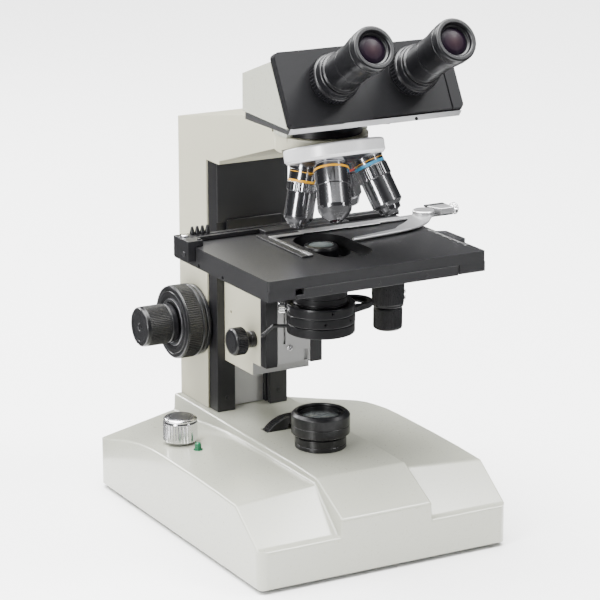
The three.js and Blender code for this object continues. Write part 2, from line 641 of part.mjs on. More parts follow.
function addCondenser() {
  addPart('condenser_carrier', condenserCarrier(), BLACK_PAINT);
  addPart('condenser_body', condenserBody(), BLACK_PAINT);
  const axis = [0, AXIS_Y, 0];
  addPart('iris_ring', irisRing(), BLACK_PAINT, addFrame(axis, [0, 0, LEVER_ANGLE]));
  addPart('filter_slider', filterSlider(), BLACK_PAINT, addFrame(axis, [0, 0, SLIDER_ANGLE]));
  addPart('condenser_clamp_screw', join(
    rod(1.9, 22, 28, { axis: 'x', at: [0, 0, 175.5], sides: SMALL_ROUND }),
    turned([[0, 26.4], [4.3, 26.4], [4.3, 31], [3.2, 32], [0, 32]],
      { axis: 'x', at: [0, 0, 175.5], sides: SMALL_ROUND })),
  CHROME, addFrame(axis, [0, 0, LEVER_ANGLE]));
  const knob = addFrame([0, CONDENSER_KNOB_Y, CONDENSER_KNOB_Z], [0, 0, Math.PI]);
  addPart('condenser_knob', join(
    rod(3, -6, 30, { axis: 'x', sides: SMALL_ROUND }),
    rod(CONDENSER_PINION_RADIUS - 0.3, -6, 6, { axis: 'x', sides: SMALL_ROUND }),
    turned([[0, 24.8], [6.4, 24.8], [6.4, 33], [9.6, 33.4], [10.7, 34.6], [10.7, 43], [9.4, 44.5],
      [0, 44.5]], { axis: 'x', sides: SMALL_ROUND })), BLACK_PLASTIC, knob);
}

// ---------------------------------------------------------------- nosepiece and objectives
// Everything here is drawn with the turret axis upright and its apex at the origin.
function objectiveFrame(turret, index) {
  const spin = addFrame([0, 0, 0], [0, 0, TURRET_PHASE + (index * Math.PI) / 2], turret);
  return addFrame([0, 0, 0], [TURRET_TILT, 0, 0], spin);
}

function alongObjective(index, radius, from, to) {
  const cylinder = new THREE.CylinderGeometry(radius, radius, to - from, SMALL_ROUND);
  cylinder.rotateX(Math.PI / 2);
  cylinder.translate(0, 0, -(from + to) / 2);
  cylinder.rotateX(TURRET_TILT);
  cylinder.rotateZ(TURRET_PHASE + (index * Math.PI) / 2);
  return solid(cylinder);
}

function turretPlate() {
  let body = turned([[0, -63.5], [29.8, -63.5], [29.8, -71.5], [24, -74.5], [0, -76.5]]);
  for (let i = 0; i < 4; i += 1) body = join(body, alongObjective(i, 12, 69, SHOULDER - GAP));
  for (let i = 0; i < 4; i += 1) body = cut(body, alongObjective(i, THREAD_RADIUS + 0.3, 50, 90));
  return cut(body.intersect(rod(60, -90, -63.5)), tube(29.8, 50, TURRET_BOTTOM - GAP, -50));
}

function nosepieceMount() {
  const bore = new THREE.CylinderGeometry(11, 11, 60, SMALL_ROUND);
  bore.rotateX(Math.PI / 2);
  bore.translate(0, 0, -60);
  bore.rotateX(TURRET_TILT);
  return cut(rod(29.6, -63.2, TURRET_TOP + 0.2), solid(bore));
}

// Barrel outlines from the shoulder down, as [radius, distance below the shoulder].
const BARRELS = {
  left: [[11.2, 0], [11.2, 4], [11.9, 4.4], [11.9, 13], [11, 13.6], [11, 36], [8.6, 39.6], [5.2, 40.6],
    [4.6, 42.4]],
  front: [[12.4, 0], [12.8, 1], [12.8, 16.4], [12.5, 17], [12.5, 34], [11, 37.4], [6.6, 41], [4.6, 42.4]],
  right: [[11.4, 0], [11.4, 5], [12.2, 5.4], [12.2, 14], [11.4, 14.6], [11.4, 35], [9.6, 36.4], [8, 39.6],
    [5.4, 40.4], [4.6, 42.4]],
  rear: [[11.4, 0], [11.4, 4], [12, 4.4], [12, 13], [11, 13.6], [11, 22], [9.4, 24], [7.6, 29],
    [6.4, 30]],
};

function objective(outline) {
  const last = outline[outline.length - 1];
  const profile = [[0, -THREAD_TOP], [THREAD_RADIUS, -THREAD_TOP], [THREAD_RADIUS, -SHOULDER],
    ...outline.map(([radius, drop]) => [radius, -SHOULDER - drop]), [0, -SHOULDER - last[1]]];
  return turned(profile, { sides: ROUND });
}

function addNosepiece() {
  const turret = addFrame([0, AXIS_Y, TURRET_APEX_Z], [-TURRET_TILT, 0, 0]);
  addPart('nosepiece_mount', nosepieceMount(), BLACK_PAINT, turret);
  addPart('turret_ring', turned([[30.1, TURRET_BOTTOM], [34.6, TURRET_BOTTOM],
    [TURRET_RADIUS, TURRET_BOTTOM + 1.8], [TURRET_RADIUS, TURRET_TOP - 1.2], [35.6, TURRET_TOP],
    [30.1, TURRET_TOP], [30.1, TURRET_BOTTOM]], { sides: ROUND }), TURRET_WHITE, turret);
  addPart('turret_plate', turretPlate(), CHROME, turret);
  Object.entries(BARRELS).forEach(([place, outline], index) => {
    addPart(`objective_${place}`, objective(outline), CHROME, objectiveFrame(turret, index));
  });
}

// ---------------------------------------------------------------- binocular head
// Points of the head face: v runs up the face and w stands out of it towards the user.
function facePoint(v, w) {
  return [FACE_BOTTOM_Y + v * Math.sin(HEAD_TILT) - w * Math.cos(HEAD_TILT),
    FACE_BOTTOM_Z + v * Math.cos(HEAD_TILT) + w * Math.sin(HEAD_TILT)];
}

function headHousing() {
  const outline = [facePoint(1, -3.6), facePoint(FACE_HEIGHT - 4.5, -3.6), [HEAD_BACK, 360.6],
    [HEAD_BACK, 333.6]];
  const half = HEAD_HALF_WIDTH;
  return cut(join(
    sidePrism(outline, -half, half),
    rod(35, NOSE_TOP + GAP, 342, { at: [0, AXIS_Y, 0] }).subtract(
      block([-40, 40], [-90, HEAD_BACK + 2.4], [300, 350])),
    block([-30, 30], [HEAD_BACK - 6, AXIS_Y + 20], [333.6, 356])),
  rod(30.4, 300, 327.6, { at: [0, AXIS_Y, 0] }),
  rod(11, 320, 345, { at: [0, AXIS_Y, 0], sides: SMALL_ROUND }));
}

function headChassis() {
  const half = HEAD_HALF_WIDTH;
  const front = [facePoint(0, -3.2), facePoint(0, 0), facePoint(FACE_HEIGHT, 0),
    facePoint(FACE_HEIGHT, -3.2)];
  const floor = [[HEAD_BACK - 2, 327.6], [HEAD_BACK - 2, 333.2], facePoint(0, -3.2), facePoint(0, 0),
    [FACE_BOTTOM_Y + 3.5, 327.6]];
  return cut(join(
    sidePrism(front, -half, half),
    sidePrism(floor, -half + 1, half - 1),
    rod(30, NOSE_TOP + GAP, 327.2, { at: [0, AXIS_Y, 0] }),
    rod(30, 326, 327.2, { at: [0, AXIS_Y, 0] }),
    block([-20, 20], [HEAD_BACK - 14, HEAD_BACK - 3], [326, 329])),
  rod(11, 300, 330, { at: [0, AXIS_Y, 0], sides: SMALL_ROUND }),
  lockHole(),
  ...[-1, 1].map((side) => faceBore(side, 14)));
}

function lockHole() {
  const hole = new THREE.CylinderGeometry(2.4 + RUNNING, 2.4 + RUNNING, 30, SMALL_ROUND);
  hole.rotateZ(-Math.PI / 2);
  hole.translate(29, 0, 0);
  return solid(placed(hole, [0, AXIS_Y, LOCK_Z], [0, 0, LOCK_ANGLE]));
}

// A bore through the face around one tube axis.
function faceBore(side, radius) {
  const bore = new THREE.CylinderGeometry(radius, radius, 30, SMALL_ROUND);
  bore.rotateX(Math.PI / 2);
  return solid(placed(bore, facePlace(side, 0), [Math.PI / 2 - HEAD_TILT, 0, 0]));
}

function facePlace(side, w) {
  const [y, z] = facePoint(TUBE_HEIGHT, w);
  return [side * TUBE_HALF_SPACING, y, z];
}

function tubeSlideLeft() {
  const top = FACE_HEIGHT - 0.6 - TUBE_HEIGHT;
  const outline = (x0, x1, w0, w1, v0) => block([x0, x1], [v0 - TUBE_HEIGHT, top], [w0, w1]);
  const x = TUBE_HALF_SPACING;
  return cut(join(
    outline(-HEAD_HALF_WIDTH + x, -25 + x, GAP, 4.3, -3),
    outline(-26 + x, -5.6 + x, 2.5, 4.3, -3),
    rod(16.2, 2.6, 6)),
  rod(8, -5, 10, { sides: SMALL_ROUND }));
}

function tubeSlideRight() {
  const top = FACE_HEIGHT - 0.6 - TUBE_HEIGHT;
  const x = -TUBE_HALF_SPACING;
  return cut(join(
    block([-14 + x, HEAD_HALF_WIDTH + x], [-TUBE_HEIGHT + 1, top], [GAP, 2.2]),
    rod(16.2, 1, 6)),
  rod(8, -5, 10, { sides: SMALL_ROUND }),
  block([61.6 + x, 62.6 + x], [-TUBE_HEIGHT, top + 1], [1.4, 3]));
}

function diopterRing() {
  return turned([[14.2, 6.3], [17, 6.3], [17.9, 7.2], [17.9, 14.4], [16.6, 15.6], [16.3, 21], [15.6, 21.6],
    [14.2, 21.6], [14.2, 6.3]], { sides: ROUND });
}

function eyepiece() {
  return turned([[0, 6.6], [13.9, 6.6], [13.9, 21.9], [15.2, 22], [13.4, 27], [13.4, 50], [15, 63],
    [15.3, 71.6], [14.2, 73.4], [12, 73], [10, 69.8], [0, 70.8]], { sides: ROUND });
}

function addHead() {
  addPart('head_housing', headHousing(), WHITE_PAINT);
  addPart('head_chassis', headChassis(), BLACK_PAINT);
  const lock = addFrame([0, AXIS_Y, LOCK_Z], [0, 0, LOCK_ANGLE]);
  addPart('head_lock_screw', turned([[0, 16], [2.4, 16], [2.4, 38], [4, 38.6], [5.2, 40.2], [5.2, 50],
    [4.4, 51], [0, 51]], { axis: 'x', sides: SMALL_ROUND }), CHROME, lock);
  for (const [name, side, slide] of [['left', -1, tubeSlideLeft], ['right', 1, tubeSlideRight]]) {
    const frame = addFrame(facePlace(side, 0), [Math.PI / 2 - HEAD_TILT, 0, 0]);
    addPart(`tube_slide_${name}`, slide(), BLACK_PAINT, frame);
    addPart(`diopter_ring_${name}`, diopterRing(), BLACK_PLASTIC, frame);
    addPart(`eyepiece_${name}`, eyepiece(), BLACK_PLASTIC, frame);
  }
}

// ---------------------------------------------------------------- whole object
addBase();
addControls();
addLimb();
addFocus();
addStageCarriage();
addMechanicalStage();
addCondenser();
addNosepiece();
addHead();

const bounds = new THREE.Box3().setFromObject(assembly);
const centre = bounds.getCenter(new THREE.Vector3());
const microscope = new THREE.Group();
microscope.name = 'microscope_at_origin';
assembly.position.set(-centre.x, -centre.y, -bounds.min.z);
microscope.add(assembly);

export default microscope;
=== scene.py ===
"""Looks for the binocular laboratory microscope: detailed pieces, materials, floor, light and camera.

Pieces are drawn in millimetres in the CAD's drawing coordinates: x = 0 is the mid-plane, y = 0 the
middle of the base, z = 0 the table, and -Y faces the user. to_object() turns them into metres in the
part's frame.
"""

import json
import math

import bmesh
import bpy
from mathutils import Matrix, Vector


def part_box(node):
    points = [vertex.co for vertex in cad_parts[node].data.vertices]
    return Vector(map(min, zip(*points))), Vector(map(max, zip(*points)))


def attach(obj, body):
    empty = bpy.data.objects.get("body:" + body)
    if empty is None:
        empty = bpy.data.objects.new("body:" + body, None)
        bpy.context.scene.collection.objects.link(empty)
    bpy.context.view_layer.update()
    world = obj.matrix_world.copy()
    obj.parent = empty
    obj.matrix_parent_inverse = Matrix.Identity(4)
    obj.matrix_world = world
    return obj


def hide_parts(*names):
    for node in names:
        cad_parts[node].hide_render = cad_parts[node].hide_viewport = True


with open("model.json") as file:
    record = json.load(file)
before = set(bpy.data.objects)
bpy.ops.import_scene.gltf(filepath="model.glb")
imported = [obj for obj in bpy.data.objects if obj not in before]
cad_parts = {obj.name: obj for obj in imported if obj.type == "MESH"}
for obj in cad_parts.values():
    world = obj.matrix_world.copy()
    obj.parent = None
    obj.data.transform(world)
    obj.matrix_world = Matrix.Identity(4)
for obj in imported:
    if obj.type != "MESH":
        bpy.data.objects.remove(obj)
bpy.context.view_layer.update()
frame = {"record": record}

BODY_OF = {n: body for body, nodes in frame["record"]["behaviour"]["bodies"].items() for n in nodes}
MM = 0.001
TAU = 2 * math.pi
DRIFT = 35          # size in millimetres of the slow changes of tone

# ------------------------ dimensions shared with the CAD
BASE_HALF_WIDTH, BASE_HALF_LENGTH, BASE_BOTTOM = 105, 135.3, 3.2
DECK_HALF_WIDTH, DECK_TOP = 38, 67
AXIS_Y = -36.5
FOCUS = (0, 106, 135.5)
STAGE_TOP = 226.7
DRIVE = (73.5, -11, 0)
TURRET_TILT = 16.9
TURRET_APEX_Z = 361
TURRET_PHASE = 51.5
SHOULDER = 80
HEAD_TILT = 29
FACE_BOTTOM = (-117.3, 332.6)
FACE_HEIGHT = 55.3
TUBE_HALF_SPACING = 32.6
TUBE_HEIGHT = 29.8
RACK_PITCH, RACK_START, RACK_TEETH = TAU * 6 / 18, 118.24, 38
FACE_CORNER = 3.5
HEAD_BACK = -48
HEAD_HALF_WIDTH = 71
FRAME_DEPTH = 3.2
ARM_TOP = 312.9
NECK_BOTTOM, NECK_TOP = 309.3, 327.6
CARRIAGE_TOP = 210.7
STAGE_HALF_WIDTH, STAGE_DEPTH = 90, (-120.9, 26.2)
CONDENSER_PINION = (0, 24, 139)
KNOB_PLACE, LED_PLACE = (-79, 42), (-76, 18)
RAIL_ENDS = (67.3, 267.3)
LEVER_ANGLE = 150.7
SLIDER_ANGLE = 20
SLIDER_OUT = 37

base_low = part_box("base_casting")[0]
SHIFT = Vector((base_low.x / MM + BASE_HALF_WIDTH, base_low.y / MM + BASE_HALF_LENGTH, 0))


# ------------------------ frames
def turn(axis, degrees):
    return Matrix.Rotation(math.radians(degrees), 4, axis)


def at(x=0, y=0, z=0):
    return Matrix.Translation((x, y, z))


ALONG_X = turn("Y", 90)      # local +Z becomes +X
ALONG_MINUS_X = turn("Y", -90)
ALONG_Y = turn("X", -90)     # local +Z becomes +Y
ORIGIN = Matrix.Identity(4)
AXIS = at(0, AXIS_Y, 0)
FILTER_WHEEL = at(2, 0, 48.5) @ ALONG_Y
SIDES = ((-1, "left"), (1, "right"))


# ------------------------ meshes
def bend(start, control, end, t):
    return tuple(start * (1 - t) ** 2 + control * 2 * t * (1 - t) + end * t ** 2)


def rounded(profile, radius):
    """The profile with its inner corners turned into short arcs."""
    result = [profile[0]]
    for before, corner, after in zip(profile, profile[1:], profile[2:]):
        c = Vector(corner)
        a, b = Vector(before) - c, Vector(after) - c
        reach = min(radius, 0.42 * a.length, 0.42 * b.length)
        if reach < 0.02 or abs(a.normalized().dot(b.normalized())) > 0.985:
            result.append(corner)
            continue
        start, end = c + a.normalized() * reach, c + b.normalized() * reach
        result += [bend(start, c, end, i / 3) for i in range(4)]
    result.append(profile[-1])
    return result


def revolve(profile, sides=96, soft=0.25, ribs=None):
    """A turned solid about local Z. ribs = (count, depth, low, high) flutes its outer wall."""
    points = rounded([tuple(map(float, p)) for p in profile], soft) if soft else profile
    if ribs:
        sides = ribs[0] * 6
    bm = bmesh.new()
    rings = []
    for r, h in points:
        if r < 1e-6:
            rings.append([bm.verts.new((0, 0, h))])
            continue
        loop = []
        for i in range(sides):
            radius = r
            if ribs and ribs[2] <= h <= ribs[3]:
                wave = 0.5 + 0.5 * math.cos(TAU * i / 6)
                radius = r - ribs[1] * (1 - wave) ** 0.7
            angle = TAU * i / sides
            loop.append(bm.verts.new((radius * math.cos(angle), radius * math.sin(angle), h)))
        rings.append(loop)
    for low, high in zip(rings, rings[1:]):
        for i in range(sides):
            j = (i + 1) % sides
            if len(low) == 1 and len(high) > 1:
                bm.faces.new((low[0], high[j], high[i]))
            elif len(high) == 1 and len(low) > 1:
                bm.faces.new((low[i], low[j], high[0]))
            elif len(low) > 1:
                bm.faces.new((low[i], low[j], high[j], high[i]))
    if points[0] == points[-1]:
        bmesh.ops.remove_doubles(bm, verts=bm.verts, dist=1e-4)
    bmesh.ops.recalc_face_normals(bm, faces=bm.faces)
    return bm


def prism(outline, low, high):
    """An outline in local XY, stretched along local Z."""
    bm = bmesh.new()
    bottom = [bm.verts.new((x, y, low)) for x, y in outline]
    top = [bm.verts.new((x, y, high)) for x, y in outline]
    bm.faces.new(bottom)
    bm.faces.new(top)
    for i in range(len(outline)):
        j = (i + 1) % len(outline)
        bm.faces.new((bottom[i], bottom[j], top[j], top[i]))
    bmesh.ops.recalc_face_normals(bm, faces=bm.faces)
    return bm


def side_prism(outline, x0, x1):
    """An outline in the y-z plane, stretched along x."""
    bm = prism(outline, x0, x1)
    bm.transform(Matrix(((0, 0, 1, 0), (1, 0, 0, 0), (0, 1, 0, 0), (0, 0, 0, 1))))
    return bm


def block(x, y, z):
    return prism([(x[0], y[0]), (x[1], y[0]), (x[1], y[1]), (x[0], y[1])], z[0], z[1])


def arc(cx, cy, radius, start, end, steps):
    """Points on a circle from one angle to another, in degrees."""
    angles = [math.radians(start + (end - start) * i / steps) for i in range(steps + 1)]
    return [(cx + radius * math.cos(a), cy + radius * math.sin(a)) for a in angles]


def rectangle(x0, x1, y0, y1, radius, steps=8):
    corners = [(x1 - radius, y1 - radius, 0), (x0 + radius, y1 - radius, 90), (x0 + radius, y0 + radius, 180),
        (x1 - radius, y0 + radius, 270)]
    return [p for cx, cy, start in corners for p in arc(cx, cy, radius, start, start + 90, steps)]


def oval(cx, y_low, y_high, radius, steps=24):
    return arc(cx, y_high, radius, 0, 180, steps) + arc(cx, y_low, radius, 180, 360, steps)


def curve_points(*points, steps=8):
    """Points along a chain of quadratic arcs: start, then (control, end) pairs."""
    start, result = Vector(points[0]), [tuple(points[0])]
    for control, end in zip(points[1::2], points[2::2]):
        c, e = Vector(control), Vector(end)
        result += [bend(start, c, e, i / steps) for i in range(1, steps + 1)]
        start = e
    return result


def rod(radius, low, high, sides=48, soft=0.2):
    return revolve([(0, low), (radius, low), (radius, high), (0, high)], sides, soft)


def ring(inner, outer, low, high, sides=96, soft=0.2):
    middle = (inner + outer) / 2
    return revolve([(middle, low), (outer, low), (outer, high), (inner, high), (inner, low), (middle, low)],
        sides, soft)


def loft(sections):
    bm = bmesh.new()
    rows = [[bm.verts.new((x, y, z)) for x, z in outline] for y, outline in sections]
    for low, high in zip(rows, rows[1:]):
        for i in range(len(low)):
            j = (i + 1) % len(low)
            bm.faces.new((low[i], low[j], high[j], high[i]))
    bm.faces.new(rows[0])
    bm.faces.new(rows[-1])
    bmesh.ops.recalc_face_normals(bm, faces=bm.faces)
    return bm


def with_frame(tool):
    """A (mesh, frame) pair, where a bare mesh stands in the drawing frame."""
    return tool if isinstance(tool, tuple) else (tool, ORIGIN)


def merged(*meshes):
    """Several meshes as one, without joining their skins."""
    result = bmesh.new()
    for bm, matrix in map(with_frame, meshes):
        bm.transform(matrix)
        temporary = bpy.data.meshes.new("temporary")
        bm.to_mesh(temporary)
        bm.free()
        result.from_mesh(temporary)
        bpy.data.meshes.remove(temporary)
    return result


# ------------------------ objects
def new_object(name, data):
    obj = bpy.data.objects.new(name, data)
    bpy.context.scene.collection.objects.link(obj)
    return obj


def to_object(name, bm, matrix=ORIGIN):
    """An object in metres from a mesh in millimetres, set in the frame that matrix gives."""
    bm.transform(Matrix.Scale(MM, 4))
    mesh = bpy.data.meshes.new(name)
    bm.to_mesh(mesh)
    bm.free()
    obj = new_object(name, mesh)
    local = matrix.copy()
    local.translation *= MM
    obj.matrix_world = Matrix.Translation(SHIFT * MM) @ local
    return obj


def bake(obj):
    bpy.context.view_layer.update()
    evaluated = obj.evaluated_get(bpy.context.evaluated_depsgraph_get())
    mesh = bpy.data.meshes.new_from_object(evaluated)
    obj.modifiers.clear()
    old = obj.data
    obj.data = mesh
    bpy.data.meshes.remove(old)


def combine(obj, operation, *tools):
    """Cuts, joins or intersects obj with tools, each a mesh, a (mesh, frame) pair or an object."""
    for tool in tools:
        if not isinstance(tool, bpy.types.Object):
            tool = to_object("tool", *with_frame(tool))
        modifier = obj.modifiers.new("combine", "BOOLEAN")
        modifier.operation = operation
        modifier.solver = "EXACT"
        modifier.object = tool
        bake(obj)
        bpy.data.objects.remove(tool)


def soften(obj, width, segments=3, angle=32):
    modifier = obj.modifiers.new("soften", "BEVEL")
    modifier.width = width * MM
    modifier.segments = segments
    modifier.limit_method = "ANGLE"
    modifier.angle_limit = math.radians(angle)
    modifier.use_clamp_overlap = True
    bake(obj)


def finish_piece(obj, look, node=None, body=None, smooth=38):
    obj.data.materials.clear()
    obj.data.materials.append(look)
    obj.data.shade_smooth()
    obj.data.set_sharp_from_angle(angle=math.radians(smooth))
    weighted = obj.modifiers.new("weighted", "WEIGHTED_NORMAL")
    weighted.keep_sharp = True
    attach(obj, body or BODY_OF[node])
    if node:
        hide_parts(node)


def piece(name, bm, matrix, look, node=None, body=None, slot=None, joins=(), cuts=(), bevel=(), sharp=(),
        smooth=38):
    """One piece: joined, cut, bevelled, then cut again where the edges stay sharp."""
    obj = to_object(name, bm, matrix)
    combine(obj, "UNION", *joins)
    combine(obj, "DIFFERENCE", *cuts)
    if bevel:
        soften(obj, *bevel)
    combine(obj, "DIFFERENCE", *sharp)
    finish_piece(obj, look, node, body, smooth)


def extra(name, bm, matrix, look, body, slot, **shaping):
    """A piece that stands for no CAD node and only rides with a body."""
    piece(name, bm, matrix, look, body=body, slot=slot, **shaping)


# ------------------------ materials
class Nodes:
    """Small helper around a material's node tree."""

    def __init__(self, name):
        self.material = bpy.data.materials.new(name)
        self.material.use_nodes = True
        self.tree = self.material.node_tree
        self.shader = self.tree.nodes["Principled BSDF"]

    def fill(self, node, values):
        """Sets inputs and properties: Coat_Weight is the input Coat Weight, and a socket is linked to it."""
        for key, value in values.items():
            label = key.replace("_", " ")
            if isinstance(value, bpy.types.NodeSocket):
                self.tree.links.new(value, node.inputs[label])
            elif label in node.inputs:
                node.inputs[label].default_value = value
            else:
                setattr(node, key, value)

    def add(self, kind, **values):
        node = self.tree.nodes.new("ShaderNode" + kind)
        self.fill(node, values)
        return node

    def link(self, socket, target):
        self.tree.links.new(socket, target)

    def surface(self, **values):
        self.fill(self.shader, values)

    def remap(self, value, low, high, to_low, to_high):
        return self.add("MapRange", Value=value, From_Min=low, From_Max=high, To_Min=to_low,
            To_Max=to_high).outputs["Result"]


def turned_coordinates(n, point):
    """Coordinates that only change with radius and height, for marks left by turning."""
    split = n.add("SeparateXYZ", Vector=point)
    flat = n.add("CombineXYZ", X=split.outputs["X"], Y=split.outputs["Y"])
    length = n.add("VectorMath", operation="LENGTH", Vector=flat.outputs[0])
    return n.add("CombineXYZ", X=length.outputs["Value"], Y=split.outputs["Z"]).outputs[0]


def look(name, color, roughness, metallic=0.0, grain=1.0, bump=0.03, tone=0.04, wear=0.06, stretch=(1, 1, 1),
        turned=False, coat=0.0, specular=0.5):
    """A finish with fine grain. grain is the grain size in millimetres, bump its depth in millimetres,
    tone how much the colour drifts over centimetres, wear how much the roughness does."""
    n = Nodes(name)
    point = n.add("TexCoord").outputs["Object"]
    if turned:
        point = turned_coordinates(n, point)
    mapping = n.add("Mapping", Vector=point, Scale=stretch)
    fine = n.add("TexNoise", Scale=1 / (grain * MM), Detail=3.0, Roughness=0.6, Vector=mapping.outputs[0])
    broad = n.add("TexNoise", Scale=1 / (DRIFT * MM), Detail=4.0, Roughness=0.55, Vector=point)
    tint = n.add("Mix", data_type="RGBA", blend_type="MULTIPLY")
    tint.inputs["Factor"].default_value = 1.0
    tint.inputs["A"].default_value = (*color, 1)
    n.link(n.remap(broad.outputs["Fac"], 0.3, 0.7, 1 - tone, 1 + tone), tint.inputs["B"])
    grainy = n.remap(fine.outputs["Fac"], 0.25, 0.75, max(0.02, roughness - wear), min(1.0, roughness + wear))
    relief = n.add("Bump", Strength=1.0, Distance=bump * MM, Height=fine.outputs["Fac"])
    n.surface(Base_Color=tint.outputs["Result"], Roughness=grainy, Normal=relief.outputs["Normal"],
        Metallic=metallic, Coat_Weight=coat, Coat_Roughness=0.12, Specular_IOR_Level=specular)
    return n.material


def lens_look(name, color, inner, rim):
    """A coated lens with a painted reflection: lighter at the centre (inner), fading to color at rim
    millimetres from its axis.
    """
    n = Nodes(name)
    point = turned_coordinates(n, n.add("TexCoord").outputs["Object"])
    radius = n.add("SeparateXYZ", Vector=point).outputs["X"]
    share = n.add("Math", operation="MULTIPLY")
    n.link(radius, share.inputs[0])
    share.inputs[1].default_value = 1 / (rim * MM)
    ramp = n.add("ValToRGB", Fac=share.outputs[0])
    ramp.color_ramp.elements[0].color = (*inner, 1)
    ramp.color_ramp.elements[1].color = (*color, 1)
    n.surface(Base_Color=ramp.outputs["Color"], Roughness=0.42, Coat_Weight=0.03, Coat_Roughness=0.1,
        Specular_IOR_Level=0.12)
    return n.material


def clear_glass(name, tint):
    n = Nodes(name)
    n.surface(Base_Color=(*tint, 1), Roughness=0.03, Transmission_Weight=0.85, IOR=1.5, Coat_Weight=0.5)
    return n.material


def plain_look(name, shade, roughness):
    """An even grey, for the floor and the reflection card."""
    n = Nodes(name)
    n.surface(Base_Color=(shade, shade, shade, 1), Roughness=roughness)
    return n


WHITE = look("white_enamel", (0.335, 0.34, 0.285), 0.28, grain=1.6, bump=0.003, tone=0.012, wear=0.01,
    coat=0.6)
CREAM = look("cream_enamel", (0.37, 0.358, 0.272), 0.36, grain=1.4, bump=0.006, tone=0.012, wear=0.04,
    coat=0.12)
BLACK = look("black_enamel", (0.006, 0.006, 0.007), 0.36, grain=0.9, bump=0.012, tone=0.10, wear=0.06)
FACE_BLACK = look("fine_black_enamel", (0.006, 0.006, 0.007), 0.5, grain=0.7, bump=0.010, tone=0.06,
    specular=0.22)
RING_BLACK = look("turned_black", (0.004, 0.004, 0.005), 0.32, grain=3, bump=0.0002, tone=0.06, wear=0.01,
    turned=True)
STAGE_BLACK = look("stage_black", (0.013, 0.013, 0.014), 0.36, grain=0.5, bump=0.010, tone=0.06, wear=0.05)
PLASTIC = look("black_plastic", (0.005, 0.005, 0.006), 0.30, grain=0.6, bump=0.006, tone=0.08, wear=0.05)
RUBBER = look("rubber", (0.018, 0.018, 0.018), 0.85, grain=0.8, bump=0.05)
CHROME = look("chrome", (0.86, 0.86, 0.87), 0.07, 1.0, grain=3, bump=0.0015, tone=0.01, wear=0.02)
OBJECTIVE_CHROME = look("turned_chrome", (0.46, 0.46, 0.475), 0.16, 1.0, grain=2, bump=0.0004, tone=0.02,
    wear=0.02, turned=True)
KNURL_CHROME = look("satin_chrome", (0.78, 0.78, 0.79), 0.2, 1.0, grain=0.5, bump=0.004, tone=0.02)
DARK_CHROME = look("spun_end", (0.22, 0.22, 0.23), 0.30, 1.0, grain=1, bump=0.001, turned=True)
STEEL = look("brushed_steel", (0.42, 0.42, 0.43), 0.34, 1.0, grain=2.5, bump=0.001, stretch=(0.1, 1, 1))
ALUMINIUM = look("milled_aluminium", (0.50, 0.50, 0.50), 0.42, 0.85, grain=0.6, bump=0.012,
    stretch=(1, 1, 0.05))
CARRIAGE_GREY = look("carriage_grey", (0.23, 0.23, 0.225), 0.36, 0.35, grain=0.9, bump=0.01, tone=0.02)
SILVER_STRIP = look("silver_strip", (0.62, 0.62, 0.63), 0.34, 0.9, grain=2.5, bump=0.001, stretch=(0.1, 1, 1))
TURRET = look("turret_satin", (0.72, 0.72, 0.73), 0.30, 0.25, grain=0.5, bump=0.004, tone=0.02)
# flat black; the strip in the tube slide seam uses it as painted shadow
BLACK_HOLE = look("shadow_black", (0.004, 0.004, 0.004), 0.9, grain=1, bump=0.01)
AMBER = look("amber_band", (0.62, 0.30, 0.004), 0.35, grain=0.5, bump=0.004)
BLUE = look("blue_band", (0.04, 0.24, 0.42), 0.35, grain=0.5, bump=0.004)
RED = look("red_band", (0.55, 0.03, 0.02), 0.35, grain=0.5, bump=0.004)
GREEN = look("green_lens", (0.004, 0.11, 0.045), 0.25, grain=1, bump=0.004, coat=0.2)
MARKS = look("white_marks", (0.75, 0.75, 0.74), 0.5, grain=0.4, bump=0.004)
# painted reflection: the eyepiece and objective lenses are lighter at their centres
EYE_LENS = lens_look("coated_lens", (0.0035, 0.001, 0.006), (0.019, 0.009, 0.012), 9.5)
FIELD_GLASS = clear_glass("field_glass", (0.55, 0.60, 0.60))
# painted reflection: the condenser lens is lighter at its centre
TOP_LENS = lens_look("condenser_lens", (0.10, 0.12, 0.12), (0.24, 0.27, 0.27), 8.0)


def screw(name, matrix, radius, height, body, slot="chrome", finish=None, hexagon=False):
    """A cap screw: rounded head with a slot or a hexagon socket, its axis along local Z."""
    head = revolve([(0, 0), (radius, 0), (radius, height * 0.7), (radius * 0.86, height), (0, height)], 40,
        0.2)
    if hexagon:
        cutter = prism(arc(0, 0, radius * 0.5, 0, 300, 5), height * 0.4, height * 2)
    else:
        cutter = block((-radius * 2, radius * 2), (-radius * 0.14, radius * 0.14), (height * 0.6, height * 2))
    piece(name, head, matrix, finish or CHROME, body=body, slot=slot, cuts=[(cutter, matrix)])


# ------------------------ base
BASE_STATIONS = [(-BASE_HALF_LENGTH, 32.5, 32.5, 45.8), (-130.4, 33, 33, 48.4), (-97, 57, 62, 66),
    (-67, 58.3, 62, DECK_TOP), (-30, 59, 62, DECK_TOP), (8, 59.1, 61.7, DECK_TOP), (25, 59, 61.5, DECK_TOP),
    (40, 58.6, 61.2, DECK_TOP), (56, 57.1, 60, DECK_TOP), (72, 55, 58.5, DECK_TOP), (86, 52.2, 57, DECK_TOP),
    (99, 49, 55.7, DECK_TOP), (BASE_HALF_LENGTH, 39.5, 53.6, DECK_TOP)]


def base_loft(inset, bottom):
    side, deck = BASE_HALF_WIDTH - inset, DECK_HALF_WIDTH - inset
    sections = []
    for y, outer, inner, top in BASE_STATIONS:
        reach = math.copysign(min(abs(y), BASE_HALF_LENGTH - inset), y)
        sections.append((reach, [(-side, bottom), (-side, outer - inset), (-deck - 0.6, inner - inset),
            (-deck, top - inset), (deck, top - inset), (deck + 0.6, inner - inset), (side, outer - inset),
            (side, bottom)]))
    return loft(sections)


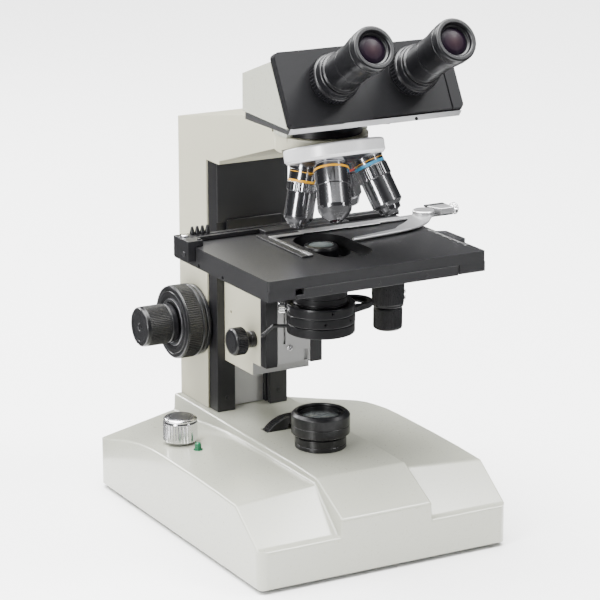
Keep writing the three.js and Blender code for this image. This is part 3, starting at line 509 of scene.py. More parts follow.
def build_base():
    shell = to_object("base_casting_shell", base_loft(0, BASE_BOTTOM))
    outline = rectangle(-BASE_HALF_WIDTH, BASE_HALF_WIDTH, -BASE_HALF_LENGTH, BASE_HALF_LENGTH, 8, 10)
    soften(shell, 2.2, 5, 14)
    combine(shell, "INTERSECT", prism(outline, 0, 80))
    soften(shell, 0.9, 3, 40)
    combine(shell, "DIFFERENCE", base_loft(4, BASE_BOTTOM - 1), (rod(15, 55, 75), AXIS),
        (rod(29.4, 9.7, 20.7, 96), FILTER_WHEEL), (rod(3.4, 50, 75), at(*KNOB_PLACE)),
        (rod(2.8, 50, 75), at(*LED_PLACE)), block((-31, -4), (125, 140), (16, 36)),
        block((8, 29), (125, 140), (16.8, 33.2)))
    finish_piece(shell, WHITE, "base_casting", smooth=30)

    plate = rectangle(-100.7, 100.7, -131, 131, 6)
    piece("base_plate_sheet", prism(plate, 3.5, 5.5), ORIGIN, STEEL, "base_plate", bevel=(0.3,),
        cuts=[(rod(2.4, 0, 4.2), at(x, y)) for x in (-60, 60) for y in (-100, 0, 100)])
    for i, (x, y) in enumerate([(-94, -60), (94, -60), (-94, 60), (94, 60), (0, -124), (0, 124)]):
        screw(f"base_plate_screw_{i + 1}", at(x, y, 3.5) @ turn("X", 180), 2.6, 1.6, "stand", "steel",
            STEEL)
    for corner, x, y in (("front_left", -88, -118), ("front_right", 88, -118), ("rear_left", -88, 118),
            ("rear_right", 88, 118)):
        foot = revolve([(0, 0.0), (7.2, 0), (7.6, 0.5), (9, 1.0), (9, 3.2), (0, 3.2)], 64, 0.3)
        piece(f"foot_{corner}_pad", foot, at(x, y), RUBBER, f"foot_{corner}")


def build_controls():
    wheel = revolve([(0, 10.4), (27.7, 10.4), (28.5, 11.2), (28.5, 19.2), (27.7, 20), (0, 20)],
        ribs=(110, 0.5, 11, 19.4))
    cuts = [(rod(8, 5, 25), FILTER_WHEEL @ at(16 * math.cos(a), 16 * math.sin(a)))
        for a in (TAU * i / 4 + math.pi / 2 + 0.125 for i in range(4))]
    piece("filter_wheel_disc", wheel, FILTER_WHEEL, PLASTIC, "filter_wheel", cuts=cuts)
    extra("filter_wheel_shaft", rod(3, 19.5, 29.5), FILTER_WHEEL, PLASTIC, "filter_disc", "black_plastic")

    collar = revolve([(14.5, 67.3), (19.5, 67.3), (19.5, 70.2), (19.2, 70.4), (19.2, 70.9), (19.5, 71.1),
        (19.5, 76), (17, 76.4), (17, 92.5), (15.8, 92.5), (15.8, 88), (14.5, 88), (14.5, 67.3)])
    piece("field_lens_collar_tube", collar, AXIS, RING_BLACK, "field_lens_collar")
    turning = revolve([(17.19, 76.7), (20, 76.7), (22.2, 78.5), (22.2, 84.8), (21.9, 85), (21.9, 85.5),
        (22.2, 85.7), (22.2, 92.6), (19.8, 94.8), (17.8, 95), (17.19, 94), (17.19, 76.7)], 128, 0.35)
    piece("field_iris_ring_grip", turning, AXIS, RING_BLACK, "field_iris_ring")
    glass = revolve([(0, 88.3), (15.5, 88.3), (15.5, 89.6), (13, 90.6), (9, 91.5), (4.5, 92.05), (0, 92.2)],
        96, 0.1)
    piece("field_lens_dome", glass, AXIS, FIELD_GLASS, "field_lens_glass")
    floor = revolve([(0, 80), (13.5, 80), (13.5, 81), (0, 81)], 64)
    extra("field_lens_well", floor, AXIS, CARRIAGE_GREY, "stand", "aluminium")
    baffle = ring(9, 14.3, 84, 85.2)
    extra("field_lens_baffle", baffle, AXIS, BLACK, "stand", "black_paint")

    knob = revolve([(0, 61), (11.6, 61), (13.25, 62.2), (13.25, 76.4), (12.7, 78), (12.9, 79), (12, 80),
        (10.8, 80.35), (0, 80.4)], ribs=(36, 0.75, 62, 76.5))
    piece("brightness_knob_grip", knob, at(*KNOB_PLACE), KNURL_CHROME, "brightness_knob")
    cap = revolve([(0, 80), (10.6, 80), (10.4, 80.75), (0, 80.8)], 96, 0.1)
    extra("brightness_knob_cap", cap, at(*KNOB_PLACE), DARK_CHROME, "brightness_dial", "chrome")
    extra("brightness_knob_spindle", rod(3, 48, 61.5), at(*KNOB_PLACE), STEEL, "brightness_dial", "chrome")
    led = revolve([(0, 53), (2.5, 53), (2.5, 63.6), (2.3, 64.8), (1.5, 65.9), (0, 66.4)], 48, 0.4)
    piece("power_led_dome", led, at(*LED_PLACE), GREEN, "power_led")
    seat = at(*LED_PLACE, 60) @ turn("Y", -3)
    extra("power_led_bezel", ring(2.6, 3.6, -0.6, 0.7), seat, GREEN, "stand", "green_lens")

    socket = [(-28.5, 19), (-6.5, 19), (-6.5, 30.5), (-9.5, 33.5), (-25.5, 33.5), (-28.5, 30.5)]
    piece("power_inlet_body", block((-30.7, -4.3), (112, 136), (16.3, 35.7)), ORIGIN, PLASTIC, "power_inlet",
        joins=[block((-33.5, -1.5), (135.6, 137.2), (13.5, 38.5))],
        cuts=[(prism(socket, -140, -118), turn("X", 90))], bevel=(0.5,))
    pins = merged(*[block((x - 1, x + 1), (117, 131), (24, 28)) for x in (-22, -17.5, -13)])
    extra("power_inlet_pins", pins, ORIGIN, STEEL, "stand", "black_plastic", bevel=(0.3,))
    rocker = side_prism([(-5.5, -6.8), (3.2, -6.8), (5.5, -5.6), (3.9, 0), (5.5, 5.6), (3.2, 6.8),
        (-5.5, 6.8)], -9.9, 9.9)
    piece("power_switch_rocker", rocker, at(18.5, 131.5, 25) @ turn("X", -9), PLASTIC,
        "power_switch", bevel=(0.5,))
    extra("power_switch_bezel", block((7, 30), (135.6, 136.6), (15.8, 34.2)), ORIGIN, PLASTIC, "stand",
        "black_plastic", cuts=[block((8.2, 28.8), (130, 140), (17, 33))], bevel=(0.3,))


# ------------------------ limb and guides
def turret_frame():
    return at(0, AXIS_Y, TURRET_APEX_Z) @ turn("X", -TURRET_TILT)


def build_limb():
    outline = [(86.3, 67.3), (134, 67.3), (134, 293.5), (104.4, 298.7), (26.9, ARM_TOP), (AXIS_Y, ARM_TOP),
        (AXIS_Y, 300.6), (-33.2, 300), (64, 270.5), (65, 267.6), (86.3, 267.6)]
    piece("limb_casting_shell", side_prism(outline, -32, 32), ORIGIN, CREAM, "limb_casting",
        joins=[(rod(34.5, 297, ARM_TOP, 128, 0), AXIS)], cuts=[(rod(36, 309, 320, 128, 0), AXIS),
        (rod(37.8, -110, -60, 128, 0), turret_frame())], bevel=(1.1, 3, 20),
        sharp=[(rod(12, 280, 320), AXIS), block((-26, 26), (93, 128), (60, 280)),
        block((-7, 7), (80, 94), (84, 258)), (rod(5.2, -40, 40), at(*FOCUS) @ ALONG_X)], smooth=30)

    for side, name in SIDES:
        x = sorted((side * 15.5, side * 31))
        groove = sorted((side * 14.5, side * 17.5))
        piece(f"guide_rail_{name}_bar", block(x, (72, 86), RAIL_ENDS), ORIGIN, BLACK, f"guide_rail_{name}",
            bevel=(0.5,), cuts=[block(groove, (76, 80), (60, 270))])
        for i, z in enumerate((78, 250)):
            screw(f"guide_rail_{name}_screw_{i + 1}", at(side * 23.2, 71.9, z) @ turn("X", 90), 1.7,
                0.5, "stand", "black_paint", BLACK, hexagon=True)
    plate = block((-15.2, 15.2), (82.8, 86), RAIL_ENDS)
    piece("guide_back_sheet", plate, ORIGIN, ALUMINIUM, "guide_back_plate", bevel=(0.3,),
        cuts=[block((-7, 7), (80, 90), (97, 258)), (prism(oval(11.5, -97, -93, 1.8), 70, 100),
        turn("X", 90) @ turn("Y", 180))])
    piece("guide_cover_sheet", block((-31, 31), (70, 71.7), (220.6, RAIL_ENDS[1])), ORIGIN, STAGE_BLACK,
        "guide_cover", bevel=(0.5,))
    mount = revolve([(0, -63.2), (29.6, -63.2), (29.6, -60.4), (0, -60.4)], 96, 0.3)
    piece("nosepiece_mount_disc", mount, turret_frame(), BLACK, "nosepiece_mount",
        cuts=[(rod(11, 30, 90), turret_frame() @ turn("X", TURRET_TILT) @ turn("X", 180))])


# ------------------------ focus knobs
def build_focus():
    left, right = at(*FOCUS) @ ALONG_MINUS_X, at(*FOCUS) @ ALONG_X
    collar = revolve([(16, 32.3), (27.4, 32.3), (28, 32.9), (28, 35.1), (27.4, 35.7), (5.4, 35.7),
        (5.4, 32.3), (16, 32.3)], 96, 0.2)
    piece("tension_ring_disc", collar, left, PLASTIC, "tension_ring")
    for side, matrix, bore in (("left", left, 3.1), ("right", right, 5.3)):
        start = 36 if side == "left" else 32.3
        front = [(28.6, 53.2), (27.2, 54), (25.6, 54), (25.2, 53.5), (24.6, 53.5), (24.2, 54), (21.4, 54),
            (18.2, 53), (17.6, 51.8), (bore, 51.8)]
        knob = revolve([(bore + 2, start), (28 if side == "left" else 27.8, start)]
            + ([(27.8, 35.4), (27.2, 35.8)] if side == "right" else [])
            + [(27.6, 36.2), (28.9, 37.2), (28.9, 39.2), (28.2, 39.6), (28.2, 40.2), (29, 40.6), (29, 51.6),
            (28.6, 52.2)] + front + [(bore, start), (bore + 2, start)], ribs=(100, 0.45, 40.5, 51.7))
        piece(f"coarse_knob_{side}_grip", knob, matrix, PLASTIC, f"coarse_knob_{side}", smooth=50)
        # A thin metal trim ring on the knob's inner face; its light grey is a painted highlight that stands
        # in for the highlight on that face.
        highlight_trim = revolve([(16.2, 51.9), (18.6, 52.8), (18.6, 53.7), (17.8, 54.1), (16.4, 53.6), (16.2, 51.9)],
            128, 0.15)
        extra(f"coarse_knob_{side}_trim", highlight_trim, matrix, DARK_CHROME, "coarse_focus", "black_plastic")
        fine = revolve([(0, 53.4), (9, 53.4), (9, 54.6), (14.6, 54.6), (15.4, 55.4), (15.4, 59.4),
            (14.8, 59.8), (14.8, 60.4), (15.7, 60.8), (15.8, 61), (15.8, 78.2), (15.7, 78.4), (15.5, 81),
            (14.6, 82), (11.5, 82), (11, 81.5), (3.4, 81.5), (3, 81.9), (2.6, 81.3), (0, 81.1)],
            ribs=(72, 0.35, 60.9, 78.3))
        piece(f"fine_knob_{side}_grip", fine, matrix, PLASTIC, f"fine_knob_{side}", smooth=50)
    sleeve = ring(3.1, 5, -53, 52)
    extra("coarse_focus_sleeve", sleeve, left, STEEL, "coarse_focus", "black_plastic")
    pinion = revolve([(5, -8), (5.9, -8), (5.9, 8), (5, 8), (5, -8)], ribs=(18, 0.7, -9, 9), soft=0)
    extra("coarse_focus_pinion", pinion, left, STEEL, "coarse_focus", "black_plastic")
    extra("fine_focus_shaft", rod(3, -76, 54), left, STEEL, "fine_focus", "black_plastic")


# ------------------------ carriage, stage plates
def build_carriage():
    width = (-24.5, 24.5)
    pinion = at(*CONDENSER_PINION) @ ALONG_X
    piece("stage_carriage_block", block(width, (26, 71.7), (109.5, CARRIAGE_TOP)), ORIGIN, CREAM,
        "stage_carriage", joins=[block(width, (13.5, 27), (119.5, CARRIAGE_TOP)),
        block((-14.8, 14.8), (70.7, 82.2), (125, 205)), block((-5, 5), (82, 99.9), (118, 200))],
        cuts=[block((-6, 6), (13, 19.4), (119, 206))], bevel=(0.5,), sharp=[(rod(5.7, -7, 7), pinion),
        (rod(3.1, -30, 0), pinion), (rod(1.4, -30, -20), at(0, 61, 151) @ ALONG_X)], smooth=30)
    face = merged(block((-24.4, -6.3), (12.9, 13.4), (119.7, 210.5)),
        block((6.3, 24.4), (12.9, 13.4), (119.7, 210.5)), block((-24.4, 24.4), (25.3, 25.8), (109.6, 119.4)))
    extra("carriage_face_plates", face, ORIGIN, CARRIAGE_GREY, "stage_carrier", "cream_paint")
    # A black flap at the back of the carriage top; it hides the see-through slots behind it with painted
    # shade.
    extra("carriage_shadow_flap", block((-24, 24), (67.6, 69.4), (209, 222.5)), ORIGIN, BLACK, "stage_carrier",
        "cream_paint", bevel=(0.3,))
    extra("carriage_rack_guard", block((-14, 14), (80.6, 81.6), (88.6, 126)), ORIGIN, ALUMINIUM,
        "stage_carrier", "cream_paint", bevel=(0.2,))
    teeth = merged(*[block((-4.8, 4.8), (99.5, 100.6), (z, z + 0.9))
        for z in (RACK_START + RACK_PITCH * i for i in range(RACK_TEETH))])
    extra("coarse_rack_teeth", teeth, ORIGIN, STEEL, "stage_carrier", "cream_paint")
    for side, name in SIDES:
        x = sorted((side * 14.5, side * 24.5))
        piece(f"condenser_guide_{name}_bar", block(x, (4.5, 12.8), (120, CARRIAGE_TOP)), ORIGIN, BLACK,
            f"condenser_guide_{name}", bevel=(0.4,))
    piece("stage_lower_sheet", block((-67, 67), STAGE_DEPTH, (211, 218.4)), ORIGIN, STAGE_BLACK,
        "stage_lower_plate", bevel=(0.35,), cuts=[(rod(22, 205, 225, 96), AXIS),
        block((58.5, 70), (-28, 40), (205, 225)), block((-67.5, -61.5), (-125, -112), (214, 219))])
    shield = ring(14.4, 24.5, 209.2, 210.6)
    extra("stage_light_shield", shield, AXIS, BLACK, "stage_carrier", "stage_black")
    for i, x in enumerate((-40, 0, 40)):
        screw(f"stage_front_screw_{i + 1}", at(x, -120.7, 214.6) @ turn("X", 90), 1.5, 0.4,
            "stage_carrier", "stage_black", STAGE_BLACK, hexagon=True)


def build_stage():
    half, lip = STAGE_HALF_WIDTH, (211.5, 219)
    slot = oval(0, AXIS_Y - 33.5, AXIS_Y, 20.5, 32)
    piece("stage_upper_sheet", prism(rectangle(-half, half, *STAGE_DEPTH, 2), 218.7, STAGE_TOP), ORIGIN,
        STAGE_BLACK, "stage_upper_plate", joins=[block((-half, -68), (-120.4, 25.7), lip),
        block((68, half), (-120.4, -30), lip)], cuts=[prism(slot, 205, 230)], bevel=(0.45,),
        sharp=[(rod(1.5, -3, 3, 24), at(-half, y, 213.6) @ ALONG_X) for y in (-52, -14)])
    marks = merged(*[block((88.2 - (3.2 if i % 5 == 0 else 1.6), 88.2), (y, y + 0.28),
        (STAGE_TOP, STAGE_TOP + 0.05)) for i, y in enumerate(range(-100, -44, 2))])
    extra("stage_scale_marks", marks, ORIGIN, MARKS, "stage_table", "stage_black")
    vernier = [(90.4, -84), (98.5, -80), (98.5, -54), (90.4, -50)]
    extra("stage_vernier_bracket", prism(vernier, 218, 226.2), ORIGIN, STAGE_BLACK, "stage_carrier",
        "stage_black", bevel=(0.4,))

    piece("specimen_rail_bar", block((-96.5, 92), (4, 14), (227, 230.4)), ORIGIN, BLACK, "specimen_rail",
        joins=[block((-96.5, -84), (-10, 14), (227, 231.6)), block((-96.5, -90.3), (-10, 14), (216, 229))],
        cuts=[block((-80, 95), (7.4, 10), (229.4, 232))], bevel=(0.4,))
    screw("specimen_rail_top_screw", at(-91, 7, 231.4), 3.4, 1.6, "stage_table")
    screw("specimen_rail_side_screw", at(-96.3, -3, 221) @ ALONG_MINUS_X, 2.0, 1.0, "stage_table",
        finish=STAGE_BLACK)
    screw("specimen_rail_small_screw", at(-86, -7, 231.5), 1.6, 1.2, "stage_table", finish=STAGE_BLACK)
    pegs = merged(*[(revolve([(0, 230), (2.0, 230), (2.0, 231.8), (0.9, 236.6), (0, 237)], 24, 0.2),
        at(x, 12.0)) for x in (-82, -77.8, -73.6, -69.4)])
    extra("specimen_rail_pegs", pegs, ORIGIN, BLACK, "stage_table", "black_paint")

    drive = at(*DRIVE)
    piece("stage_drive_block", block((64, 88.5), (-18, 7), (188, 218.4)), ORIGIN, PLASTIC,
        "stage_drive_housing", joins=[(rod(8.5, 184.9, 190, 64, 0), drive)], bevel=(0.6,),
        sharp=[(rod(5.3, 180, 207), drive)])
    y_knob = revolve([(3.1, 160.8), (11.4, 160.8), (12.1, 161.4), (12.1, 163.2), (12.4, 163.6), (12.8, 180.4),
        (12.8, 183.6), (11.9, 184.5), (5, 184.5), (5, 205), (3.1, 205), (3.1, 160.8)],
        ribs=(60, 0.3, 163.5, 180.6))
    piece("stage_y_knob_grip", y_knob, drive, PLASTIC, "stage_y_knob", smooth=50)
    for i, z in enumerate((167, 172)):
        facing = drive @ turn("Z", -28) @ at(12.3, 0, z) @ ALONG_X
        screw(f"stage_y_knob_screw_{i + 1}", facing, 1.7, 1.3, "y_drive", "black_plastic")
    x_knob = revolve([(0, 142.6), (9.6, 142.6), (11, 143.6), (11.3, 144.6), (11.3, 158.4), (11, 159.4),
        (10.2, 160.4), (3, 160.4), (3, 206), (0, 206)], ribs=(60, 0.3, 144.5, 158.5))
    piece("stage_x_knob_grip", x_knob, drive, PLASTIC, "stage_x_knob", smooth=50)
    screw("stage_drive_screw", at(88.3, -4, 196) @ ALONG_X, 3.0, 1.4, "stage_table")

    low = STAGE_TOP + 0.3
    sheet = (low, low + 1.2)
    piece("specimen_carrier_plate", block((-37.5, 128), (-16, -5), sheet), ORIGIN, STAGE_BLACK,
        "specimen_carrier", bevel=(0.25,), joins=[block((-37.5, -28.5), (-75.5, -15), sheet),
        block((-30, 42), (-5.5, 3.7), (low, 230.4))])
    strips = merged(block((-31.8, -28.4), (-75.2, -62), (low + 0.9, low + 1.75)),
        block((-31.5, -4), (-17.6, -13.2), (low + 0.9, low + 1.75)), block((-4, 34), (-16.6, -8),
        (low + 1.1, low + 1.6)), block((34, 62), (-18, -8), (low + 1.1, low + 1.8)),
        block((62, 112), (-14.5, -7), (low + 1.1, low + 1.6)))
    extra("specimen_carrier_arm_strip", block((-31.2, -28.6), (-62, -17), (low + 0.9, low + 1.5)), ORIGIN,
        STEEL, "slide_carrier", "steel", bevel=(0.15,))
    extra("specimen_carrier_strips", strips, ORIGIN, SILVER_STRIP, "slide_carrier", "steel", bevel=(0.15,))
    guard = [(117, -16), (129, -16), (129, -4), (112, -4)]
    extra("specimen_carrier_guard", prism(guard, low + 1.2, 233), ORIGIN, SILVER_STRIP, "slide_carrier",
        "steel", bevel=(0.5,))
    extra("specimen_carrier_lid", block((112, 129), (-3.6, 1), (231.4, 233)), ORIGIN, STAGE_BLACK,
        "slide_carrier", "steel", bevel=(0.3,))
    nut = revolve([(0, 128.8), (3.4, 128.8), (3.4, 130.2), (4.6, 130.6), (4.6, 133.6), (3.9, 134.6),
        (0, 134.9)], ribs=(22, 0.4, 130.5, 133.7))
    extra("specimen_carrier_screw", nut, at(0, -10, 230) @ ALONG_X, CHROME, "slide_carrier", "steel")

    finger_low = low + 1.5
    outer = curve_points((17, -55.2), (40, -53.4), (61.6, -50), (88, -46), (101, -27), (108, -20), (111, -13))
    inner = curve_points((88.4, -15.4), (82, -27), (67.2, -35.7)) + [(60, -42.5)] + curve_points((60, -42.5),
        (40, -46.8), (21, -49.6), (16.6, -51.4), (17, -55.2))[1:-1]
    blade = prism(outer + [(96, -11)] + inner, finger_low, finger_low + 1.4)
    piece("spring_finger_blade", blade, ORIGIN, SILVER_STRIP, "spring_finger", bevel=(0.35,))
    cap = revolve([(0, finger_low), (8.4, finger_low), (8.6, finger_low + 1.0), (8.6, finger_low + 3.4),
        (7.8, finger_low + 4.3), (0, finger_low + 4.8)], 72, 0.4)
    extra("spring_finger_cap", cap, at(104, -12), SILVER_STRIP, "slide_finger", "steel")


# ------------------------ condenser
def build_condenser():
    lever_frame, slider_frame = AXIS @ turn("Z", LEVER_ANGLE), AXIS @ turn("Z", SLIDER_ANGLE)
    clamp_frame = lever_frame @ at(0, 0, 175.5) @ ALONG_X

    def window():
        return block((-17.8, 32.2), (-15.4, 15.4), (168.8, 174.2)), slider_frame

    holder = revolve([(21.3, 165.3), (25.4, 165.3), (25.8, 165.7), (25.8, 172), (25.45, 172.3),
        (25.45, 172.7), (25.8, 173), (25.8, 178.6), (25.4, 180), (21.3, 180), (21.3, 165.3)], 128)
    pits = [(rod(0.9, 24, 30, 20), AXIS @ turn("Z", a) @ at(0, 0, z) @ ALONG_X)
        for a, z in ((-112, 169), (-100, 177), (-60, 169))]
    piece("condenser_carrier_ring", holder, AXIS, RING_BLACK, "condenser_carrier",
        cuts=[window(), (rod(2.3, 19, 31), clamp_frame)] + pits)
    extra("condenser_slide_bar", block((-14.2, 14.2), (4.6, 13.0), (122, 180)), ORIGIN, CARRIAGE_GREY,
        "condenser", "black_paint", joins=[block((-5.7, 5.7), (12.5, 18.9), (122, 182))],
        cuts=[block((-9.2, -7.2), (0, 7.2), (137.5, 162)), block((8.6, 12), (0, 6.6), (122.6, 131))],
        bevel=(0.35,))
    extra("condenser_arm", block((-11, 11), (-16.2, 5.2), (165.5, 179.8)), ORIGIN, BLACK, "condenser",
        "black_paint", cuts=[(rod(25.2, 160, 185, 96), AXIS), window()], bevel=(0.3,))
    screw("condenser_slide_screw", at(-3.8, 4.7, 134) @ turn("X", 90), 2.3, 1.1, "condenser")

    barrel = revolve([(0, 158), (18, 158), (20.9, 158.3), (20.9, 180.6), (20.4, 180.9), (20, 181.5),
        (20, 185.2), (19.6, 185.5), (19.6, 186), (20, 186.3), (20, 198.4), (19, 200.5), (15, 203),
        (13.4, 204), (13.4, 207), (13, 207.4), (13, 221.6), (12.2, 223.4), (9.4, 224.2), (9, 223.4),
        (0, 223.4)], 128, 0.3)
    piece("condenser_body_barrel", barrel, AXIS, RING_BLACK, "condenser_body", cuts=[window()])
    top = revolve([(0, 222.8), (8.9, 222.8), (8.9, 223.5), (6, 224.3), (0, 224.6)], 96, 0.1)
    extra("condenser_top_lens", top, AXIS, TOP_LENS, "condenser", "glass")

    iris = revolve([(21.3, 157.5), (25.2, 157.5), (25.6, 158), (25.6, 164.4), (25.2, 165), (21.3, 165),
        (21.3, 157.5)], ribs=(90, 0.25, 158.4, 164), soft=0.2)
    piece("iris_ring_grip", iris, AXIS, RING_BLACK, "iris_ring", smooth=50)
    lever = merged((rod(1.3, 24.5, 35.6, 24), at(0, 0, 161) @ ALONG_X),
        (rod(1.3, 0, 11.4, 24), at(35.1, 0, 161.3) @ turn("Y", 133)),
        (revolve([(0, -1.7), (1.2, -1.2), (1.7, 0), (1.2, 1.2), (0, 1.7)], 24, 0.2), at(43.4, 0, 153.6)))
    extra("iris_lever_rod", lever, lever_frame, BLACK, "aperture_iris", "black_paint")
    tab = [(20, -15)] + arc(SLIDER_OUT, 0, 15, -90, 90, 32) + [(20, 15)]
    hole = slider_frame @ at(SLIDER_OUT, 0, 0)
    piece("filter_slider_tab", prism(tab, 169.2, 173.8), slider_frame, BLACK, "filter_slider",
        cuts=[(rod(11.5, 171.2, 175, 72, 0), hole), (rod(9.2, 168, 176, 72, 0), hole)], bevel=(0.4,))
    clamp_head = revolve([(0, 26.4), (3.6, 26.4), (4.3, 27), (4.3, 31), (3.2, 32), (0, 32)],
        ribs=(20, 0.4, 27, 31))
    piece("condenser_clamp_head", clamp_head, clamp_frame, CHROME, "condenser_clamp_screw")
    extra("condenser_clamp_shank", rod(1.9, 22, 26.6), clamp_frame, STEEL, "condenser_clamp", "chrome")
    knob_frame = at(*CONDENSER_PINION) @ ALONG_MINUS_X
    knob = revolve([(0, 24.8), (6.4, 24.8), (6.4, 28), (6.0, 28.4), (6.0, 28.9), (6.4, 29.3), (6.4, 33),
        (9.6, 33.4), (10.7, 34.6), (10.7, 42.4), (9.6, 44), (7.6, 44.5), (0, 44.5)],
        ribs=(48, 0.4, 34.5, 42.5))
    piece("condenser_knob_grip", knob, knob_frame, PLASTIC, "condenser_knob", smooth=50)
    spindle = merged(rod(3, -6, 25.5), rod(4.7, -6, 6))
    extra("condenser_knob_spindle", spindle, knob_frame, STEEL, "condenser_drive", "black_plastic")


# ------------------------ nosepiece and objectives
# Each barrel: outline as (radius, drop below the shoulder), coloured bands and flutes.
BARRELS = {
    "left": dict(outline=[(11.2, 0), (11.2, 9.0), (11.9, 9.4), (11.9, 15.4), (11, 16), (11, 34.2),
        (10.2, 36.2), (8.2, 38.6), (7.6, 40), (5.2, 41), (4.6, 42.4)],
        bands=[(11.24, 1.2, 1.7, AMBER), (11.26, 7.2, 8.9, AMBER)], flutes=(9.4, 15.4), count=30),
    "front": dict(outline=[(12.2, 0), (12.8, 0.8), (12.8, 16.2), (12.5, 16.8), (12.5, 32), (12, 34.4),
        (10, 37.8), (6.6, 40.8), (4.8, 42.2), (4.6, 42.4)],
        bands=[(12.86, 3.2, 4.8, AMBER), (12.6, 16.5, 16.9, BLACK)], flutes=None, count=0),
    "right": dict(outline=[(11.4, 0), (11.4, 4.6), (12.2, 5.4), (12.2, 14), (11.4, 14.6), (11.4, 34),
        (9.6, 36), (8.6, 36.6), (8, 39.8), (5.6, 40.6), (4.6, 42.4)],
        bands=[(11.44, 0.6, 1.0, AMBER), (11.46, 2.4, 4.7, BLUE)], flutes=(5.4, 14.0), count=26),
    "rear": dict(outline=[(11.4, 0), (11.4, 3.6), (12, 4.4), (12, 13), (11, 13.6), (11, 22), (9.4, 24),
        (7.6, 29), (6.4, 30)], bands=[(11.44, 1.4, 3, RED)], flutes=(4.4, 13.0), count=30),
}


def build_nosepiece():
    turret = turret_frame()
    ring_mesh = revolve([(30.1, -71.6), (34.4, -71.6), (35.6, -71.2), (35.8, -70.4), (37, -69.6), (37, -62.2),
        (36.6, -61.2), (35.4, -60.6), (30.1, -60.6), (30.1, -71.6)], 160, 0.3)
    piece("turret_ring_band", ring_mesh, turret, TURRET, "turret_ring")
    plate = revolve([(0, -63.5), (29.8, -63.5), (29.8, -71.9), (27, -72.6), (24, -74.5), (9, -76.4),
        (0, -76.5)], 128, 0.4)
    piece("turret_plate_disc", plate, turret, DARK_CHROME, "turret_plate")
    for index, (name, barrel) in enumerate(BARRELS.items()):
        matrix = turret @ turn("Z", TURRET_PHASE + index * 90) @ turn("X", TURRET_TILT)
        outline = barrel["outline"]
        tip = outline[-1][1]
        profile = [(0, -SHOULDER - tip + 0.5), (outline[-1][0] - 1.4, -SHOULDER - tip + 0.5),
            (outline[-1][0] - 1.4, -SHOULDER - tip)]
        profile += [(r, -SHOULDER - drop) for r, drop in reversed(outline)]
        profile += [(7.8, -SHOULDER), (7.8, -74), (0, -74)]
        ribs = None
        if barrel["flutes"]:
            above, below = barrel["flutes"]
            ribs = (barrel["count"], 0.35, -SHOULDER - below - 0.05, -SHOULDER - above + 0.05)
        piece(f"objective_{name}_barrel", revolve(profile, 128, 0.22, ribs), matrix, OBJECTIVE_CHROME,
            f"objective_{name}")
        boss = ring(8.4, 11.8, -SHOULDER + 0.3, -72.6)
        extra(f"turret_boss_{name}", boss, matrix, OBJECTIVE_CHROME, "nosepiece", "chrome")
        for i, (radius, low, high, colour) in enumerate(barrel["bands"]):
            band = ring(radius - 0.5, radius + 0.02, -SHOULDER - high, -SHOULDER - low, 128, 0.05)
            extra(f"objective_{name}_band_{i + 1}", band, matrix, colour, "nosepiece", "chrome")
        lens = revolve([(0, -SHOULDER - tip + 0.35), (outline[-1][0] - 1.5, -SHOULDER - tip + 0.35),
            (outline[-1][0] - 1.5, -SHOULDER - tip + 0.8), (0, -SHOULDER - tip + 0.8)], 48, 0.1)
        extra(f"objective_{name}_lens", lens, matrix, EYE_LENS, "nosepiece", "chrome")


# ------------------------ binocular head
def face_point(up, out):
    """The (y, z) of a point up along the sloping face and out of it."""
    tilt = math.radians(HEAD_TILT)
    return (FACE_BOTTOM[0] + up * math.sin(tilt) - out * math.cos(tilt),
        FACE_BOTTOM[1] + up * math.cos(tilt) + out * math.sin(tilt))


def tube_frame(side):
    y, z = face_point(TUBE_HEIGHT, 0)
    return at(side * TUBE_HALF_SPACING, y, z) @ turn("X", 90 - HEAD_TILT)


